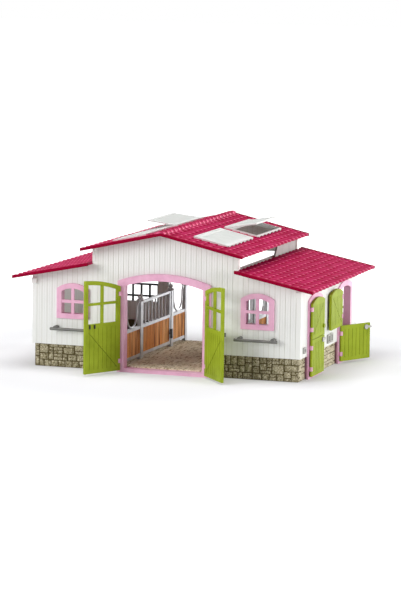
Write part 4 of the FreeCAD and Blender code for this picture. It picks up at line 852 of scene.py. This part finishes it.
def stone_strip(name, node, solids, paler=0.0):
    """The stone foot of one node: for each solid its box and the faces that show stone."""
    chance = random.Random(STONE_SEED + len(name))
    maker = bmesh.new()
    layers = (maker.verts.layers.float.new("tone"), maker.verts.layers.float.new("joint"))
    for low, high, faces in solids:
        core_low, core_high = low.copy(), high.copy()
        for face in faces:
            axis = 0 if face[0] == "x" else 1
            if face[1] == "-":
                core_low[axis] += STONE_PROUD - STONE_LAP
            else:
                core_high[axis] -= STONE_PROUD - STONE_LAP
        add_core(maker, layers, core_low, core_high)
        for face in faces:
            axis = 0 if face[0] == "x" else 1
            other = 1 - axis
            outward = Vector((0, 0, 0))
            outward[axis] = -1 if face[1] == "-" else 1
            origin = low.copy()
            origin[axis] = low[axis] if face[1] == "-" else high[axis]
            along = Vector((0, 0, 0))
            along[other] = 1
            for block in stone_layout(high[other] - low[other], high.z - low.z, chance):
                add_stone(maker, layers, origin, along, outward, block, paler + chance.random())
    piece(name, maker, "stone", [node], smooth_angle=STONE_ANGLE)


def island_boxes(node):
    """The box of each separate solid of a node, from left to right and front to back."""
    maker = bmesh.new()
    maker.from_mesh(nodes[node].data)
    bmesh.ops.remove_doubles(maker, verts=maker.verts, dist=WELD)
    left = set(maker.verts)
    boxes = []
    while left:
        stack = [left.pop()]
        found = []
        while stack:
            vertex = stack.pop()
            found.append(vertex.co.copy())
            for edge in vertex.link_edges:
                other = edge.other_vert(vertex)
                if other in left:
                    left.remove(other)
                    stack.append(other)
        low = Vector([min(point[axis] for point in found) for axis in range(3)])
        high = Vector([max(point[axis] for point in found) for axis in range(3)])
        boxes.append((low, high))
    maker.free()
    return sorted(boxes, key=lambda pair: (round(pair[0].x, SORT_DIGITS), round(pair[0].y, SORT_DIGITS)))


def stone_foot():
    """Stones on every outward face of the foot of the walls."""
    left, right = island_boxes("front_plinths")
    stone_strip("front_stones", "front_plinths", [(*left, ("y-", "x-")), (*right, ("y-", "x+"))])
    left = [(*island_boxes("left_plinth")[0], ("x-", "y+"))]
    stone_strip("left_stones", "left_plinth", left, paler=SIDE_PALER)
    stretches = sorted(island_boxes("right_plinths"), key=lambda pair: pair[1].y)
    right = [(*pair, ("x+",)) for pair in stretches[:-1]] + [(*stretches[-1], ("x+", "y+"))]
    stone_strip("right_stones", "right_plinths", right, paler=SIDE_PALER)
    stone_strip("rear_stones", "rear_plinths", [(*pair, ("y+",)) for pair in island_boxes("rear_plinths")])


def sand_floor():
    """The floor plate, its top covered with uneven sand."""
    low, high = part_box("floor_plate")
    across = round((high.x - low.x) / SAND_STEP)
    deep = round((high.y - low.y) / SAND_STEP)
    maker = bmesh.new()
    rows = []
    for back in range(deep + 1):
        row = []
        for side in range(across + 1):
            x = low.x + (high.x - low.x) * side / across
            y = low.y + (high.y - low.y) * back / deep
            rim = side in (0, across) or back in (0, deep)
            swell = noise.noise(Vector((x, y, 0)) / SAND_SWELL)
            swell += SAND_RIPPLE_SHARE * noise.noise(Vector((x, y, 1)) / SAND_RIPPLE)
            drop = SAND_ROUGH if rim else SAND_ROUGH * (SAND_LEVEL - SAND_SWING * swell)
            row.append(maker.verts.new((x, y, high.z - drop)))
        rows.append(row)
    for first, second in zip(rows, rows[1:]):
        for side in range(across):
            maker.faces.new([first[side], first[side + 1], second[side + 1], second[side]])
    rim = rows[0] + [row[-1] for row in rows[1:]] + rows[-1][-2::-1] + [row[0] for row in rows[-2:0:-1]]
    foot = [maker.verts.new((vertex.co.x, vertex.co.y, low.z)) for vertex in rim]
    for number, vertex in enumerate(rim):
        follow = (number + 1) % len(rim)
        maker.faces.new([vertex, rim[follow], foot[follow], foot[number]])
    maker.faces.new(foot)
    piece("sand_floor", maker, "sand", ["floor_plate"], smooth_angle=SAND_ANGLE)


def finials():
    """Turned tops over the pointed ends of the stall posts."""
    for _, side in SIDES:
        maker = bmesh.new()
        for end in ENDS:
            _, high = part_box(f"stall_{end}_frame_{side}")
            for x, y in finial_places(f"stall_{end}_frame_{side}", high.z):
                turned(maker, x, y, high.z - FINIAL_CONE)
        piece(f"stall_finials_{side}", maker, "silver")


def finial_places(node, top):
    """Where the pointed ends of a frame's posts are."""
    tips = {}
    for vertex in nodes[node].data.vertices:
        if vertex.co.z > top - TIP_DEPTH:
            key = round(vertex.co.y / TIP_SPACING)
            tips.setdefault(key, []).append(vertex.co)
    places = []
    for found in tips.values():
        x = sum(point.x for point in found) / len(found)
        y = sum(point.y for point in found) / len(found)
        places.append((x, y))
    return places


def turned(maker, x, y, foot):
    """One turned top, its foot at this height."""
    rings = []
    for radius, height in FINIAL_PROFILE:
        ring = []
        for step in range(FINIAL_SIDES):
            turn = 2 * math.pi * step / FINIAL_SIDES
            point = (x + radius * MM * math.cos(turn), y + radius * MM * math.sin(turn), foot + height * MM)
            ring.append(maker.verts.new(point))
        rings.append(ring)
    for first, second in zip(rings, rings[1:]):
        for step in range(FINIAL_SIDES):
            follow = (step + 1) % FINIAL_SIDES
            maker.faces.new([first[step], first[follow], second[follow], second[step]])
    maker.faces.new(list(reversed(rings[0])))
    maker.faces.new(rings[-1])


# Studio

CAMERA_AZIMUTH = math.radians(18.43)
CAMERA_HEIGHT = math.radians(7.58)
CAMERA_ROLL = math.radians(0.77)
CAMERA_TARGET = Vector((0.01105, -0.0136, 0.12414))
CAMERA_DISTANCE = 5.6152
CAMERA_LENS = 165.4
CAMERA_CLIP = 50
FULL_WHITE = (1, 1, 1, 1)
FLOOR_COLOUR = (0.66, 0.665, 0.68, 1)
FLOOR_ROUGH = 0.9
FLOOR_HALF = 20
FLOOR_DROP = 0.1 * MM
AMBIENT = 0.2
FLOOR_GLOW = 0.18
GLOW_NEAR = 0.45
GLOW_FAR = 1.1

# Lamps: name, place, aim, size and power
LAMPS = (
    ("top", (-0.1, -0.3, 2.6), (0, 0, 0.1), 1.8, 50),
    ("right", (3.1, -0.7, 0.4), (0, 0, 0.1), 1.2, 58),
    ("fill", (-2.4, -3.0, 1.3), (0, 0, 0.1), 2.2, 98),
    ("aisle", (0.15, 1.7, 0.4), (0, 0, 0.05), 0.5, 5),
    ("back", (1.55, 2.2, 0.75), (-0.1, 0.1, 0.05), 1.0, 36),
)


def camera():
    """The view of the photograph."""
    back = Vector((
        math.sin(CAMERA_AZIMUTH) * math.cos(CAMERA_HEIGHT),
        -math.cos(CAMERA_AZIMUTH) * math.cos(CAMERA_HEIGHT),
        math.sin(CAMERA_HEIGHT),
    ))
    level = (-back).cross(Vector((0, 0, 1))).normalized()
    upright = level.cross(-back)
    right = math.cos(CAMERA_ROLL) * level + math.sin(CAMERA_ROLL) * upright
    up = math.cos(CAMERA_ROLL) * upright - math.sin(CAMERA_ROLL) * level
    lens = bpy.data.cameras.new("camera")
    lens.lens = CAMERA_LENS
    lens.clip_end = CAMERA_CLIP
    item = bpy.data.objects.new("camera", lens)
    turn = Matrix((right, up, back)).transposed().to_4x4()
    item.matrix_world = Matrix.Translation(CAMERA_TARGET + back * CAMERA_DISTANCE) @ turn
    bpy.context.scene.collection.objects.link(item)
    bpy.context.scene.camera = item


def softbox(name, place, target, size, watts):
    """A round soft lamp turned to its target."""
    lamp = bpy.data.lights.new(name, "AREA")
    lamp.shape = "DISK"
    lamp.size = size
    lamp.energy = watts
    item = bpy.data.objects.new(name, lamp)
    item.location = place
    item.rotation_euler = (Vector(target) - Vector(place)).to_track_quat("-Z", "Y").to_euler()
    bpy.context.scene.collection.objects.link(item)


def seen_directly(tree):
    """1 for what the camera, a reflection or a clear pane sees, 0 for light that falls on a surface."""
    path = tree.nodes.new("ShaderNodeLightPath")
    total = path.outputs["Is Camera Ray"]
    for name in ("Is Glossy Ray", "Is Transmission Ray"):
        most = tree.nodes.new("ShaderNodeMath")
        most.operation = "MAXIMUM"
        tree.links.new(total, most.inputs[0])
        tree.links.new(path.outputs[name], most.inputs[1])
        total = most.outputs[0]
    return total


def surroundings():
    """A white backdrop to look at, and a weaker even light from all round."""
    world = bpy.data.worlds.new("studio")
    bpy.context.scene.world = world
    world.use_nodes = True
    tree = world.node_tree
    light = tree.nodes["Background"]
    light.inputs["Strength"].default_value = AMBIENT
    light.inputs["Color"].default_value = FULL_WHITE
    seen = tree.nodes.new("ShaderNodeBackground")
    seen.inputs["Color"].default_value = FULL_WHITE
    both = tree.nodes.new("ShaderNodeMixShader")
    tree.links.new(seen_directly(tree), both.inputs["Fac"])
    tree.links.new(light.outputs[0], both.inputs[1])
    tree.links.new(seen.outputs[0], both.inputs[2])
    tree.links.new(both.outputs[0], tree.nodes["World Output"].inputs["Surface"])


def studio_floor():
    """A pale floor that keeps the shadow near the part and turns white further out."""
    maker = bmesh.new()
    bmesh.ops.create_grid(maker, x_segments=1, y_segments=1, size=FLOOR_HALF)
    mesh = bpy.data.meshes.new("studio_floor")
    maker.to_mesh(mesh)
    maker.free()
    floor = bpy.data.objects.new("studio_floor", mesh)
    floor.location.z = -FLOOR_DROP
    bpy.context.scene.collection.objects.link(floor)
    paint = bpy.data.materials.new("studio_floor")
    paint.use_nodes = True
    tree = paint.node_tree
    surface = tree.nodes["Principled BSDF"]
    surface.inputs["Base Color"].default_value = FLOOR_COLOUR
    surface.inputs["Roughness"].default_value = FLOOR_ROUGH
    surface.inputs["Specular IOR Level"].default_value = 0.0
    point = tree.nodes.new("ShaderNodeTexCoord")
    away = tree.nodes.new("ShaderNodeVectorMath")
    away.operation = "LENGTH"
    tree.links.new(point.outputs["Object"], away.inputs[0])
    rise = tree.nodes.new("ShaderNodeMapRange")
    rise.interpolation_type = "SMOOTHSTEP"
    rise.inputs["From Min"].default_value = GLOW_NEAR
    rise.inputs["From Max"].default_value = GLOW_FAR
    rise.inputs["To Min"].default_value = FLOOR_GLOW
    rise.inputs["To Max"].default_value = 1.0
    tree.links.new(away.outputs["Value"], rise.inputs["Value"])
    glow = tree.nodes.new("ShaderNodeEmission")
    tree.links.new(rise.outputs["Result"], glow.inputs["Strength"])
    bright = tree.nodes.new("ShaderNodeAddShader")
    tree.links.new(surface.outputs[0], bright.inputs[0])
    tree.links.new(glow.outputs[0], bright.inputs[1])
    both = tree.nodes.new("ShaderNodeMixShader")
    tree.links.new(seen_directly(tree), both.inputs["Fac"])
    tree.links.new(surface.outputs[0], both.inputs[1])
    tree.links.new(bright.outputs[0], both.inputs[2])
    tree.links.new(both.outputs[0], tree.nodes["Material Output"].inputs["Surface"])
    mesh.materials.append(paint)


dress_nodes()
tiled_roofs()
ridge_tiles()
stone_foot()
sand_floor()
finials()
camera()
surroundings()
studio_floor()
for lamp in LAMPS:
    softbox(*lamp)
bpy.context.scene.view_settings.view_transform = "Standard"
